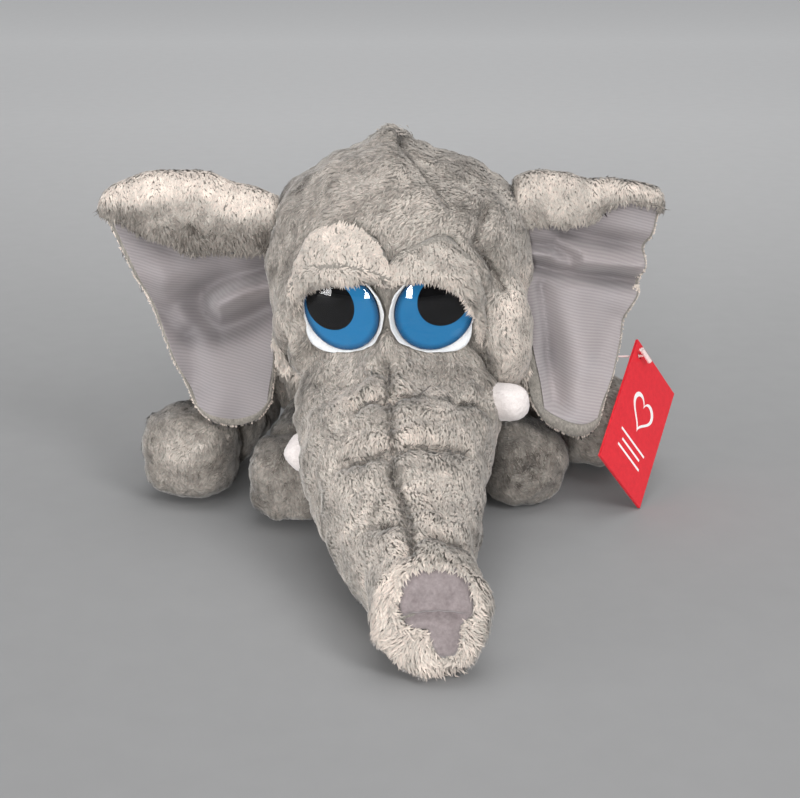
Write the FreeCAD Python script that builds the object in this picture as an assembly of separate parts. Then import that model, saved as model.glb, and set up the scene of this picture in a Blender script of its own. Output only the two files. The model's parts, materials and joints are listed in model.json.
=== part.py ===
"""Plush elephant, sitting with its legs forward and its trunk resting on the floor.

Layout frame while the pieces are built: x to the toy's left ear side (the viewer's right),
y to the back with y = 0 at the line through both ears, z up with the floor at z = 0.
At the end every piece is moved by TO_ORIGIN, so that the origin of the finished part is
the bottom centre of its whole box. All sizes are millimetres and degrees.
Pieces named left_ and right_ are at -x and +x, as seen from the front.
"""
import FreeCAD
import Part
import math
import os

Vector = FreeCAD.Vector

TO_ORIGIN = Vector(-0.9, 10.75, 0.0)   # layout frame to the bottom centre of the whole box
SKIN = 2.5                            # plush fabric with its pile pressed flat
FELT = 1.2                            # white felt
RUNNING_GAP = 0.5                     # between two bodies that turn on one another
LIMB_GAP = 2.6                        # round the root of a leg or the tail

# Head: a ball with an oval muzzle that runs forward and down to the trunk joint
HEAD_CENTRE = Vector(-0.5, 8.0, 108.0)
HEAD_RADIUS = 60.0
MUZZLE_ROOT = Vector(-0.5, -8.0, 78.0)
MUZZLE_ROOT_SIZE = (44.0, 34.0)       # half width and half height at its root
MUZZLE_END_SIZE = (37.0, 34.0)        # the same at the trunk joint
TRUNK_JOINT = Vector(-1.0, -86.0, 40.0)
TRUNK_BALL_RADIUS = 29.0
MUZZLE_RIM_ANGLE = 56.0               # half angle of the muzzle's rim about the trunk joint

# Trunk, straight from its joint to the nostril end
TRUNK_END = Vector(15.5, -170.0, 19.0)
TRUNK_SHOULDER_RADIUS = 32.5
TRUNK_SHOULDER_AT = 19.0
TRUNK_NECK_ANGLE = 66.0               # where the ball ends, from the trunk's own direction
TRUNK_TIP_RADIUS = 20.0
TRUNK_TIP_ROUND = 6.0
NOSTRIL_PAD_RADIUS = 13.5
NOSTRIL_PAD_THICKNESS = 1.4

# Eyes: two-part plastic domes, each with a loose coloured ring and disc, on felt
EYE_AZIMUTH = {"left": -23.0, "right": 14.0}     # from straight ahead, about the head's centre
EYE_ELEVATION = {"left": -6.0, "right": -5.0}
EYE_RADIUS = 17.2
EYE_DOME_HEIGHT = 9.0
EYE_DISC_THICKNESS = 0.6
PUPIL_RADIUS = 11.2
PUPIL_SHIFT = {"left": (4.9, 2.5), "right": (-3.5, 4.6)}    # towards -x, upward
EYE_PLATE_THICKNESS = 1.2
EYE_STEM_RADIUS = 2.6
EYE_STEM_LENGTH = 16.0
EYE_WASHER_RADIUS = 9.0
EYE_WASHER_THICKNESS = 1.5
FELT_RADIUS = 18.2
LID_THICKNESS = 4.5
LID_EDGE_HEIGHT = {"left": 7.5, "right": 8.5}    # lid's lower edge above the eye's centre
LID_EDGE_SLOPE = {"left": -4.0, "right": 20.0}   # turn of that edge, outer end down

# Tusks: short stuffed felt stubs
TUSK_ROOT = {"left": Vector(-26.0, -58.0, 50.0), "right": Vector(30.0, -52.0, 64.0)}
TUSK_TIP = {"left": Vector(-41.0, -70.0, 43.0), "right": Vector(46.0, -63.0, 66.0)}
TUSK_RADIUS = 8.4

# Ears: a flat leaf standing out from the head, its top folded forward
EAR_HINGE_X = {"left": -62.0, "right": 61.0}
EAR_LINE_Y = 0.0
EAR_WIDTH = {"left": 68.0, "right": 60.0}
EAR_SWEEP_BACK = {"left": 0.0, "right": 8.0}
EAR_DROP = {"left": 4.9, "right": 1.0}
EAR_TILT = 13.0                       # its lower end forward
EAR_TILT_HEIGHT = 125.0
EAR_BACK_THICKNESS = 3.0
EAR_LINING_THICKNESS = 0.8
EAR_FLAP_THICKNESS = 4.0
EAR_BORDER = 0.93                     # lining's outline as a share of the ear's
# (out from the hinge as a share of the width, height above the floor)
EAR_OUTER_EDGE = [(0.0, 140.0), (0.45, 149.0), (0.8, 147.0), (1.0, 139.0), (0.9, 118.0),
                  (0.75, 90.0), (0.6, 66.0), (0.46, 45.0), (0.3, 34.0), (0.12, 40.0), (0.0, 50.0)]
EAR_FLAP_EDGE = [(1.0, 139.0), (0.85, 127.0), (0.55, 120.0), (0.0, 124.0)]
EAR_ROOT_CLEARANCE = 1.6

# Torso: a pear-shaped bag turned about the upright line through the ears' centre
TORSO_YAW = 10.0
TORSO_CENTRE_Y = 74.0
TORSO_RADIUS = 58.0
TORSO_HEIGHT = 121.0
TORSO_WIDEST_AT = 48.0
TORSO_BELLY_RADIUS = 52.0             # profile radius under the widest height
NECK_WAD_THICKNESS = 5.0
NECK_WAD_ANGLE = 22.0                 # half angle of the wad about the head's centre
NECK_POCKET_ANGLE = 34.0              # half angle of its pocket, so that the wad can turn
BEAN_POUCH_RADIUS = 33.0
BEAN_POUCH_HEIGHT = 22.0
BEAN_POUCH_FLOOR = 4.0
POUCH_CLOTH = 0.8

# Legs, in the torso's own frame before its yaw; the left ones mirror the right ones
SHOULDER = Vector(35.0, 24.0, 32.0)
FRONT_FOOT = Vector(53.0, -24.0, 20.0)
SHOULDER_RADIUS = 16.0
FRONT_FOOT_RADIUS = 20.0
HIP = Vector(62.8, 73.0, 24.0)
REAR_FOOT = Vector(100.0, 15.0, 22.5)
HIP_RADIUS = 18.0
REAR_FOOT_RADIUS = 22.5
SOLE_FROM_CENTRE = 0.86               # sole's distance from the foot's centre, as a share

# Tail, in the torso's own frame
TAIL_ROOT = Vector(0.0, 134.0, 42.0)
TAIL_TIP = Vector(0.0, 148.0, 12.0)
TAIL_RADIUS = 5.0
TAIL_TUFT_RADIUS = 7.5

# Care label and hang tag
LABEL_SIZE = (0.8, 20.0, 14.0)        # thick, out from the seam, high
LABEL_BEARING = 32.0                  # from straight back, towards the toy's right
LABEL_HEIGHT = 20.0
TAG_WIDTH = 42.0
TAG_LENGTH = 66.0
TAG_THICKNESS = 1.2
TAG_TOP_CORNER = Vector(110.6, 9.0, 71.2)
TAG_ALONG_WIDTH = Vector(0.521, 0.364, -0.772)
TAG_ALONG_LENGTH = Vector(-0.335, -0.738, -0.574)
TAG_HOLE_INSET = 5.5
TAG_HOLE_RADIUS = 1.6
TAG_PIN_RADIUS = 0.5
TAG_BAR_RADIUS = 1.1
TAG_BAR_LENGTH = 9.0
TAG_BAR_STAND_OFF = 3.0
TAG_PIN_EAR_SHARE = 0.55              # where the pin enters the ear, as a share of its width
TAG_PIN_EAR_HEIGHT = 66.0

SIDES = {"left": -1.0, "right": 1.0}
ORIGIN = Vector(0.0, 0.0, 0.0)
UP = Vector(0.0, 0.0, 1.0)
pieces = {}


def unit(vector):
    """The same direction at length one."""
    result = Vector(vector)
    result.normalize()
    return result


def torso_point(point):
    """A point of the torso's own frame, turned into the layout frame."""
    turn = FreeCAD.Rotation(UP, TORSO_YAW)
    return turn.multVec(point)


def mirrored(point, side):
    """A right-hand point moved to the named side."""
    return Vector(point.x * SIDES[side], point.y, point.z)


def revolved(edges, start, direction):
    """Solid of revolution. The profile is drawn along +z from the origin, with x as radius,
    and is closed along its axis."""
    first = edges[0].valueAt(edges[0].FirstParameter)
    last = edges[-1].valueAt(edges[-1].LastParameter)
    closing = Part.LineSegment(last, first).toShape()
    face = Part.Face(Part.Wire(edges + [closing]))
    solid = face.revolve(ORIGIN, UP, 360.0)
    turn = FreeCAD.Rotation(UP, direction)
    solid.Placement = FreeCAD.Placement(start, turn)
    return solid


def line(first, second):
    """Straight profile edge between two (radius, height) pairs."""
    start = Vector(first[0], 0.0, first[1])
    end = Vector(second[0], 0.0, second[1])
    return Part.LineSegment(start, end).toShape()


def arc(first, middle, last):
    """Round profile edge through three (radius, height) pairs."""
    points = [Vector(pair[0], 0.0, pair[1]) for pair in (first, middle, last)]
    return Part.Arc(*points).toShape()


def on_circle(height, radius, angle):
    """Profile pair on a circle about the axis point at that height, angle from straight up."""
    turn = math.radians(angle)
    return (radius * math.sin(turn), height + radius * math.cos(turn))


def ball_arc(height, radius, first_angle, last_angle):
    """Profile arc about the axis point at that height."""
    middle_angle = (first_angle + last_angle) / 2.0
    return arc(on_circle(height, radius, first_angle), on_circle(height, radius, middle_angle),
               on_circle(height, radius, last_angle))


def ball(centre, radius):
    """Solid ball."""
    return Part.makeSphere(radius, centre)


def disc(centre, direction, radius, thickness):
    """Flat disc standing on its centre point."""
    return Part.makeCylinder(radius, thickness, centre, direction)


def limb(root, root_radius, end, end_radius, sole_share=None):
    """Two balls joined by the cone that touches both, with a flat sole if a share is given."""
    direction = end.sub(root)
    length = direction.Length
    lean = math.degrees(math.asin((end_radius - root_radius) / length))
    edges = [ball_arc(0.0, root_radius, 180.0, 90.0 + lean)]
    edges.append(line(on_circle(0.0, root_radius, 90.0 + lean),
                      on_circle(length, end_radius, 90.0 + lean)))
    if sole_share is None:
        edges.append(ball_arc(length, end_radius, 90.0 + lean, 0.0))
    else:
        sole_angle = math.degrees(math.acos(sole_share))
        edges.append(ball_arc(length, end_radius, 90.0 + lean, sole_angle))
        edges.append(line(on_circle(length, end_radius, sole_angle),
                          (0.0, length + end_radius * sole_share)))
    return revolved(edges, root, direction)


def above_floor(shape):
    """The shape without anything that reaches under the floor."""
    depth = 40.0
    below = Part.makeBox(600.0, 600.0, depth, Vector(-300.0, -300.0, -depth))
    return shape.cut(below)


def oval(centre, direction, half_width, half_height):
    """Closed ellipse across a direction, its width along x."""
    upward = unit(direction.cross(Vector(1.0, 0.0, 0.0)))
    if upward.z < 0.0:
        upward = upward.negative()
    side = centre.add(Vector(half_width, 0.0, 0.0))
    top = centre.add(upward.multiply(half_height))
    return Part.Wire(Part.Ellipse(side, top, centre).toShape())


def trunk_room(wall):
    """Room for the trunk's ball and for its lift, grown backwards by a wall thickness."""
    axis = TRUNK_JOINT.sub(MUZZLE_ROOT)
    lean = math.radians(MUZZLE_RIM_ANGLE)
    radius = TRUNK_BALL_RADIUS + RUNNING_GAP + wall
    reach = 70.0
    apex = -wall / math.sin(lean)
    wide = (reach * math.sin(lean), apex - reach * math.cos(lean))
    edges = [line((0.0, apex), wide)]
    edges.append(line(wide, (wide[0], reach)))
    edges.append(line((wide[0], reach), (0.0, reach)))
    cone = revolved(edges, TRUNK_JOINT, axis)
    return cone, ball(TRUNK_JOINT, radius)


def head_solid(inset):
    """Ball of the head with its muzzle, and the socket of the trunk at the muzzle's end."""
    axis = TRUNK_JOINT.sub(MUZZLE_ROOT)
    root = oval(MUZZLE_ROOT, axis, MUZZLE_ROOT_SIZE[0] - inset, MUZZLE_ROOT_SIZE[1] - inset)
    end = oval(TRUNK_JOINT, axis, MUZZLE_END_SIZE[0] - inset, MUZZLE_END_SIZE[1] - inset)
    muzzle = Part.makeLoft([root, end], True, True)
    cone, socket = trunk_room(inset)
    muzzle = muzzle.cut(cone).cut(socket)
    return ball(HEAD_CENTRE, HEAD_RADIUS - inset).fuse(muzzle)


def trunk_solid(inset):
    """Trunk with the ball at its root, along the line from its joint to its end."""
    axis = TRUNK_END.sub(TRUNK_JOINT)
    length = axis.Length - inset
    ball_radius = TRUNK_BALL_RADIUS - inset
    shoulder = (TRUNK_SHOULDER_RADIUS - inset, TRUNK_SHOULDER_AT)
    tip_radius = TRUNK_TIP_RADIUS - inset
    round_start = (tip_radius, length - TRUNK_TIP_ROUND)
    corner = TRUNK_TIP_ROUND * (1.0 - math.sqrt(0.5))
    round_middle = (tip_radius - corner, length - corner)
    round_end = (tip_radius - TRUNK_TIP_ROUND, length)
    edges = [ball_arc(0.0, ball_radius, 180.0, TRUNK_NECK_ANGLE)]
    edges.append(line(on_circle(0.0, ball_radius, TRUNK_NECK_ANGLE), shoulder))
    edges.append(line(shoulder, round_start))
    edges.append(arc(round_start, round_middle, round_end))
    edges.append(line(round_end, (0.0, length)))
    return revolved(edges, TRUNK_JOINT, axis)


def torso_solid(inset):
    """Pear-shaped bag: round belly on a flat base, and an elliptical top."""
    belly = TORSO_BELLY_RADIUS - inset
    belly_centre = TORSO_RADIUS - TORSO_BELLY_RADIUS
    drop = TORSO_WIDEST_AT - inset
    low_angle = math.asin(drop / belly)
    belly_points = []
    for share in (1.0, 0.5, 0.0):
        angle = low_angle * share
        belly_points.append((belly_centre + belly * math.cos(angle),
                             TORSO_WIDEST_AT - belly * math.sin(angle)))
    top_points = []
    for step in range(5):
        angle = math.radians(22.5 * step)
        top_points.append(Vector((TORSO_RADIUS - inset) * math.cos(angle), 0.0,
                                 TORSO_WIDEST_AT
                                 + (TORSO_HEIGHT - TORSO_WIDEST_AT - inset) * math.sin(angle)))
    top = Part.BSplineCurve()
    top.interpolate(Points=top_points, InitialTangent=Vector(0.0, 0.0, 1.0),
                    FinalTangent=Vector(-1.0, 0.0, 0.0))
    edges = [line((0.0, inset), belly_points[0]), arc(*belly_points), top.toShape()]
    centre = torso_point(Vector(0.0, TORSO_CENTRE_Y, 0.0))
    return revolved(edges, centre, UP)


def neck_direction():
    """From the head's centre towards the middle of the torso."""
    target = torso_point(Vector(0.0, TORSO_CENTRE_Y, 58.0))
    return target.sub(HEAD_CENTRE)


def neck_wad_solid():
    """Part of a round shell about the head's centre, on the side that faces the torso."""
    inner = HEAD_RADIUS + RUNNING_GAP
    outer = inner + NECK_WAD_THICKNESS
    edges = [line((0.0, inner), (0.0, outer))]
    edges.append(ball_arc(0.0, outer, 0.0, NECK_WAD_ANGLE))
    edges.append(line(on_circle(0.0, outer, NECK_WAD_ANGLE),
                      on_circle(0.0, inner, NECK_WAD_ANGLE)))
    edges.append(ball_arc(0.0, inner, NECK_WAD_ANGLE, 0.0))
    face = Part.Face(Part.Wire(edges))
    solid = face.revolve(ORIGIN, UP, 360.0)
    turn = FreeCAD.Rotation(UP, neck_direction())
    solid.Placement = FreeCAD.Placement(HEAD_CENTRE, turn)
    return solid


def head_room(wall):
    """Room for the head's ball and the neck wad, grown by a wall thickness."""
    bowl = HEAD_RADIUS + RUNNING_GAP + wall
    pocket = HEAD_RADIUS + NECK_WAD_THICKNESS + 2.0 * RUNNING_GAP + wall
    angle = NECK_POCKET_ANGLE + math.degrees(wall / pocket)
    edges = [ball_arc(0.0, bowl, 180.0, angle)]
    edges.append(line(on_circle(0.0, bowl, angle), on_circle(0.0, pocket, angle)))
    edges.append(ball_arc(0.0, pocket, angle, 0.0))
    return revolved(edges, HEAD_CENTRE, neck_direction())


def eye_direction(side):
    """Direction from the head's centre out through the eye."""
    azimuth = math.radians(EYE_AZIMUTH[side])
    elevation = math.radians(EYE_ELEVATION[side])
    flat = math.cos(elevation)
    return Vector(flat * math.sin(azimuth), -flat * math.cos(azimuth), math.sin(elevation))


def eye_axes(side):
    """Across and upward directions in the plane of the eye's base."""
    out = eye_direction(side)
    across = unit(UP.cross(out).negative())
    upward = unit(across.cross(out).negative())
    if upward.z < 0.0:
        upward = upward.negative()
    return across, upward


def eye_seat(side):
    """Centre of the flat that the felt lies on."""
    return HEAD_CENTRE.add(eye_direction(side).multiply(HEAD_RADIUS - 0.8))


def make_eye(side, head_outer):
    """Felt, back plate with its stem, coloured ring, pupil, clear dome, washer and lid."""
    out = eye_direction(side)
    across, upward = eye_axes(side)
    seat = eye_seat(side)
    felt = disc(seat, out, FELT_RADIUS, FELT)
    plate_base = seat.add(Vector(out).multiply(FELT))
    plate = disc(plate_base, out, EYE_RADIUS, EYE_PLATE_THICKNESS)
    inward = out.negative()
    stem = disc(plate_base, inward, EYE_STEM_RADIUS, EYE_STEM_LENGTH)
    stem_hole = disc(plate_base, inward, EYE_STEM_RADIUS, EYE_STEM_LENGTH + 1.0)
    disc_base = plate_base.add(Vector(out).multiply(EYE_PLATE_THICKNESS))
    shift = PUPIL_SHIFT[side]
    pupil_base = disc_base.add(Vector(across).multiply(shift[0]))
    pupil_base = pupil_base.add(Vector(upward).multiply(shift[1]))
    pupil = disc(pupil_base, out, PUPIL_RADIUS, EYE_DISC_THICKNESS)
    iris = disc(disc_base, out, EYE_RADIUS, EYE_DISC_THICKNESS).cut(pupil)
    dome_base = disc_base.add(Vector(out).multiply(EYE_DISC_THICKNESS))
    dome_sphere = (EYE_RADIUS ** 2 + EYE_DOME_HEIGHT ** 2) / (2.0 * EYE_DOME_HEIGHT)
    dome_centre = dome_base.add(Vector(out).multiply(EYE_DOME_HEIGHT - dome_sphere))
    room = disc(dome_base, out, EYE_RADIUS + 1.0, EYE_DOME_HEIGHT + 1.0)
    dome = ball(dome_centre, dome_sphere).common(room)
    washer_depth = SKIN + 3.0
    washer_base = plate_base.add(Vector(inward).multiply(washer_depth))
    washer = disc(washer_base, inward, EYE_WASHER_RADIUS, EYE_WASHER_THICKNESS)
    washer = washer.cut(stem_hole)
    lid_inner = dome_sphere + RUNNING_GAP
    lid_ball = ball(dome_centre, lid_inner + LID_THICKNESS).cut(ball(dome_centre, lid_inner))
    lid_turn = FreeCAD.Rotation(out, -LID_EDGE_SLOPE[side])
    lid_up = lid_turn.multVec(upward)
    lid_floor = seat.add(Vector(lid_up).multiply(LID_EDGE_HEIGHT[side]))
    lid_room = disc(lid_floor, lid_up, 40.0, 40.0)
    front_room = disc(seat, out, 40.0, 40.0)
    lid = lid_ball.common(lid_room).common(front_room)
    lid = lid.cut(head_outer).cut(felt).cut(plate)
    pieces[side + "_eye_felt"] = felt.cut(stem_hole)
    pieces[side + "_eye_back_plate"] = plate.fuse(stem).removeSplitter()
    pieces[side + "_eye_iris"] = iris
    pieces[side + "_eye_pupil"] = pupil
    pieces[side + "_eye_dome"] = dome
    pieces[side + "_eye_washer"] = washer
    pieces[side + "_eyelid"] = lid
    seat_room = disc(seat, out, FELT_RADIUS + 0.2, 30.0)
    return [seat_room, stem_hole, washer]


def make_tusk(side, head_outer):
    """Felt cup sewn to the muzzle, and the fibre inside it."""
    outer = limb(TUSK_ROOT[side], TUSK_RADIUS, TUSK_TIP[side], TUSK_RADIUS).cut(head_outer)
    inner_radius = TUSK_RADIUS - FELT
    inner = limb(TUSK_ROOT[side], inner_radius, TUSK_TIP[side], inner_radius).cut(head_outer)
    pieces[side + "_tusk_felt"] = outer.cut(inner)
    pieces[side + "_tusk_stuffing"] = inner


def make_head():
    """Skin, fibre, both eyes with their lids, and both tusks."""
    outer = head_solid(0.0)
    inner = head_solid(SKIN)
    skin = outer.cut(inner)
    stuffing = inner
    for side in SIDES:
        cutters = make_eye(side, outer)
        for cutter in cutters:
            skin = skin.cut(cutter)
            stuffing = stuffing.cut(cutter)
        make_tusk(side, outer)
    pieces["head_skin"] = skin
    pieces["head_stuffing"] = stuffing


def make_trunk():
    """Skin, fibre and the smooth pad with the nostrils."""
    axis = TRUNK_END.sub(TRUNK_JOINT)
    direction = unit(axis)
    outer = above_floor(trunk_solid(0.0))
    inner = trunk_solid(SKIN)
    sunk = NOSTRIL_PAD_THICKNESS / 2.0
    pad_base = TRUNK_END.sub(Vector(direction).multiply(sunk))
    pad = disc(pad_base, direction, NOSTRIL_PAD_RADIUS, NOSTRIL_PAD_THICKNESS)
    pieces["trunk_skin"] = outer.cut(inner).cut(pad)
    pieces["trunk_stuffing"] = inner
    pieces["nostril_pad"] = pad


def ear_placement(side):
    """From the flat ear drawing (x out, z up, y back) to its place at the head."""
    hinge = Vector(EAR_HINGE_X[side], EAR_LINE_Y, EAR_DROP[side])
    turn = FreeCAD.Rotation(UP, SIDES[side] * EAR_SWEEP_BACK[side])
    lean = FreeCAD.Rotation(Vector(1.0, 0.0, 0.0), -EAR_TILT)
    level = Vector(0.0, 0.0, EAR_TILT_HEIGHT)
    tilt = FreeCAD.Placement(Vector(0.0, 0.0, 0.0), lean, level)
    return FreeCAD.Placement(hinge, turn).multiply(tilt)


def ear_points(side, shares):
    """Drawing points of one ear from its (share of width, height) pairs."""
    width = EAR_WIDTH[side] * SIDES[side]
    return [Vector(share * width, 0.0, height) for share, height in shares]


def ear_plate(side, outline, front, thickness):
    """Slab between an outline's curve and the straight root, from the front plane back."""
    points = ear_points(side, outline)
    curve = Part.BSplineCurve()
    curve.interpolate(Points=points)
    root = Part.LineSegment(points[-1], points[0]).toShape()
    face = Part.Face(Part.Wire([curve.toShape(), root]))
    slab = face.extrude(Vector(0.0, thickness, 0.0))
    slab.translate(Vector(0.0, front, 0.0))
    return slab


def make_ear(side):
    """Plush back with its folded top and rolled border, and the lining it frames."""
    whole = ear_plate(side, EAR_OUTER_EDGE, 0.0, EAR_BACK_THICKNESS + EAR_LINING_THICKNESS)
    middle = Vector(0.45 * EAR_WIDTH[side] * SIDES[side], 0.0, 98.0)
    lining = ear_plate(side, EAR_OUTER_EDGE, 0.0, EAR_LINING_THICKNESS)
    shrink = FreeCAD.Matrix()
    shrink.move(middle.negative())
    shrink.scale(EAR_BORDER, 1.0, EAR_BORDER)
    shrink.move(middle)
    lining = lining.transformGeometry(shrink)
    top = EAR_OUTER_EDGE[:3]
    flap = ear_plate(side, top + EAR_FLAP_EDGE, -EAR_FLAP_THICKNESS, EAR_FLAP_THICKNESS)
    back = whole.cut(lining).fuse(flap)
    root_ball = ball(HEAD_CENTRE, HEAD_RADIUS + EAR_ROOT_CLEARANCE)
    place = ear_placement(side)
    for name, shape in (("_ear_back", back), ("_ear_lining", lining)):
        placed = shape.copy()
        placed.Placement = place.multiply(placed.Placement)
        pieces[side + name] = placed.cut(root_ball)


def make_leg(kind, side, root, root_radius, foot, foot_radius):
    """Skin and fibre of one leg."""
    start = torso_point(mirrored(root, side))
    end = torso_point(mirrored(foot, side))
    outer = limb(start, root_radius, end, foot_radius, SOLE_FROM_CENTRE)
    inner_sole = (foot_radius * SOLE_FROM_CENTRE - SKIN) / (foot_radius - SKIN)
    inner = limb(start, root_radius - SKIN, end, foot_radius - SKIN, inner_sole)
    pieces[side + "_" + kind + "_leg_skin"] = outer.cut(inner)
    pieces[side + "_" + kind + "_leg_stuffing"] = inner


def make_tail():
    """Thin plush tube with a tuft on its end."""
    start = torso_point(TAIL_ROOT)
    end = torso_point(TAIL_TIP)
    direction = unit(end.sub(start))
    tube = limb(start, TAIL_RADIUS, end, TAIL_RADIUS)
    tuft_start = end.sub(Vector(direction).multiply(TAIL_RADIUS))
    tuft = limb(tuft_start, TAIL_RADIUS + 0.5, end, TAIL_TUFT_RADIUS)
    pieces["tail_tube"] = tube.cut(tuft)
    pieces["tail_tuft"] = tuft


def torso_rooms(wall):
    """Sockets of the head, legs and tail, grown by a wall thickness."""
    grown = LIMB_GAP + wall
    rooms = [head_room(wall), ball(torso_point(TAIL_ROOT), TAIL_RADIUS + grown)]
    for side in SIDES:
        rooms.append(ball(torso_point(mirrored(SHOULDER, side)), SHOULDER_RADIUS + grown))
        rooms.append(ball(torso_point(mirrored(HIP, side)), HIP_RADIUS + grown))
    return rooms


def make_torso():
    """Skin with the sockets of head, legs and tail, fibre, bean pouch and care label."""
    outer = torso_solid(0.0)
    inner = torso_solid(SKIN)
    for room in torso_rooms(0.0):
        outer = outer.cut(room)
    for room in torso_rooms(SKIN):
        inner = inner.cut(room)
    pouch_outer = bean_solid(0.0)
    pouch_inner = bean_solid(POUCH_CLOTH)
    pieces["torso_skin"] = outer.cut(inner)
    pieces["torso_stuffing"] = inner.cut(pouch_outer)
    pieces["bean_pouch"] = pouch_outer.cut(pouch_inner)
    pieces["bean_pellets"] = pouch_inner
    pieces["neck_wad"] = neck_wad_solid()
    make_care_label(torso_solid(0.0))


def bean_solid(inset):
    """Cushion-shaped pouch on the torso's floor."""
    low = BEAN_POUCH_FLOOR + inset
    high = BEAN_POUCH_FLOOR + BEAN_POUCH_HEIGHT - inset
    rim = BEAN_POUCH_RADIUS - inset
    middle = (low + high) / 2.0
    flat = BEAN_POUCH_RADIUS * 0.62
    edges = [line((0.0, low), (flat, low))]
    edges.append(arc((flat, low), (rim, middle), (flat, high)))
    edges.append(line((flat, high), (0.0, high)))
    centre = torso_point(Vector(0.0, TORSO_CENTRE_Y + 4.0, 0.0))
    return revolved(edges, centre, UP)


def make_care_label(torso_outer):
    """Blank ribbon sewn into the seam beside the tail."""
    thick, reach, height = LABEL_SIZE
    inside = 30.0
    ribbon = Part.makeBox(thick, reach + inside, height)
    ribbon.translate(Vector(-thick / 2.0, TORSO_RADIUS - inside - 6.0, LABEL_HEIGHT))
    centre = torso_point(Vector(0.0, TORSO_CENTRE_Y, 0.0))
    turn = FreeCAD.Rotation(UP, TORSO_YAW + LABEL_BEARING)
    ribbon.Placement = FreeCAD.Placement(centre, turn).multiply(ribbon.Placement)
    pieces["care_label"] = ribbon.cut(torso_outer)


def tag_axes():
    """Square directions of the card: across, down its length and out of its front."""
    along = unit(TAG_ALONG_LENGTH)
    front = unit(along.cross(TAG_ALONG_WIDTH))
    across = unit(front.cross(along))
    return across, along, front


def tag_hole():
    """Centre of the card's punched hole, on its front face."""
    across, along, front = tag_axes()
    inset = Vector(across).multiply(TAG_HOLE_INSET)
    inset = inset.add(Vector(along).multiply(TAG_HOLE_INSET))
    return TAG_TOP_CORNER.add(inset)


def ear_pin_point():
    """Where the tag's fastener enters the right ear's outer edge."""
    middle = (EAR_BACK_THICKNESS + EAR_LINING_THICKNESS) / 2.0
    local = Vector(TAG_PIN_EAR_SHARE * EAR_WIDTH["right"], middle, TAG_PIN_EAR_HEIGHT)
    return ear_placement("right").multVec(local)


def rod(first, second, radius):
    """Round rod between two points."""
    run = second.sub(first)
    return Part.makeCylinder(radius, run.Length, first, run)


def make_tag():
    """Card, and the plastic fastener that holds it to the ear."""
    across, along, front = tag_axes()
    corners = [TAG_TOP_CORNER]
    corners.append(corners[0].add(Vector(across).multiply(TAG_WIDTH)))
    corners.append(corners[1].add(Vector(along).multiply(TAG_LENGTH)))
    corners.append(corners[0].add(Vector(along).multiply(TAG_LENGTH)))
    outline = Part.makePolygon(corners + [corners[0]])
    card = Part.Face(outline).extrude(Vector(front).multiply(-TAG_THICKNESS))
    hole = tag_hole()
    behind = hole.add(Vector(front).multiply(-2.0 * TAG_THICKNESS - 0.6))
    through = disc(behind, front, TAG_HOLE_RADIUS, 4.0 * TAG_THICKNESS)
    pieces["hang_tag"] = card.cut(through)
    ahead = hole.add(Vector(front).multiply(TAG_BAR_STAND_OFF))
    ear_point = ear_pin_point()
    bar_half = Vector(across).multiply(TAG_BAR_LENGTH / 2.0)
    pin = rod(ear_point, behind, TAG_PIN_RADIUS)
    pin = pin.fuse(ball(behind, TAG_PIN_RADIUS))
    pin = pin.fuse(rod(behind, ahead, TAG_PIN_RADIUS))
    pin = pin.fuse(rod(ahead.sub(bar_half), ahead.add(bar_half), TAG_BAR_RADIUS))
    pin = pin.fuse(ball(ear_point, TAG_PIN_RADIUS))
    for name in ("right_ear_back", "right_ear_lining"):
        pieces[name] = pieces[name].cut(pin)
    pieces["tag_pin"] = pin


def build():
    """All pieces, in their final frame."""
    make_head()
    make_trunk()
    for side in SIDES:
        make_ear(side)
        make_leg("front", side, SHOULDER, SHOULDER_RADIUS, FRONT_FOOT, FRONT_FOOT_RADIUS)
        make_leg("rear", side, HIP, HIP_RADIUS, REAR_FOOT, REAR_FOOT_RADIUS)
    make_tail()
    make_torso()
    make_tag()
    for shape in pieces.values():
        shape.translate(TO_ORIGIN)


def joint_places():
    """Pivot points and axes of the joints, in the finished part's frame."""
    across_torso = torso_point(Vector(1.0, 0.0, 0.0))
    places = {"neck": HEAD_CENTRE, "trunk": TRUNK_JOINT, "tail": torso_point(TAIL_ROOT)}
    for side in SIDES:
        places[side + "_ear"] = Vector(EAR_HINGE_X[side], EAR_LINE_Y, 90.0)
        places[side + "_shoulder"] = torso_point(mirrored(SHOULDER, side))
        places[side + "_hip"] = torso_point(mirrored(HIP, side))
    places["tag"] = tag_hole()
    places["seat"] = torso_point(Vector(0.0, TORSO_CENTRE_Y, 0.0))
    moved = {name: place.add(TO_ORIGIN) for name, place in places.items()}
    return moved, across_torso, tag_axes()[2]


build()
os.makedirs("parts", exist_ok=True)
for name in sorted(pieces):
    shape = pieces[name]
    shape.exportStep(os.path.join("parts", name + ".step"))
    print("%-24s %9.0f mm3" % (name, shape.Volume))
moved_places, across_axis, tag_normal = joint_places()
for name in sorted(moved_places):
    print(name, moved_places[name])
print("torso across", across_axis, "tag normal", tag_normal)
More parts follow.
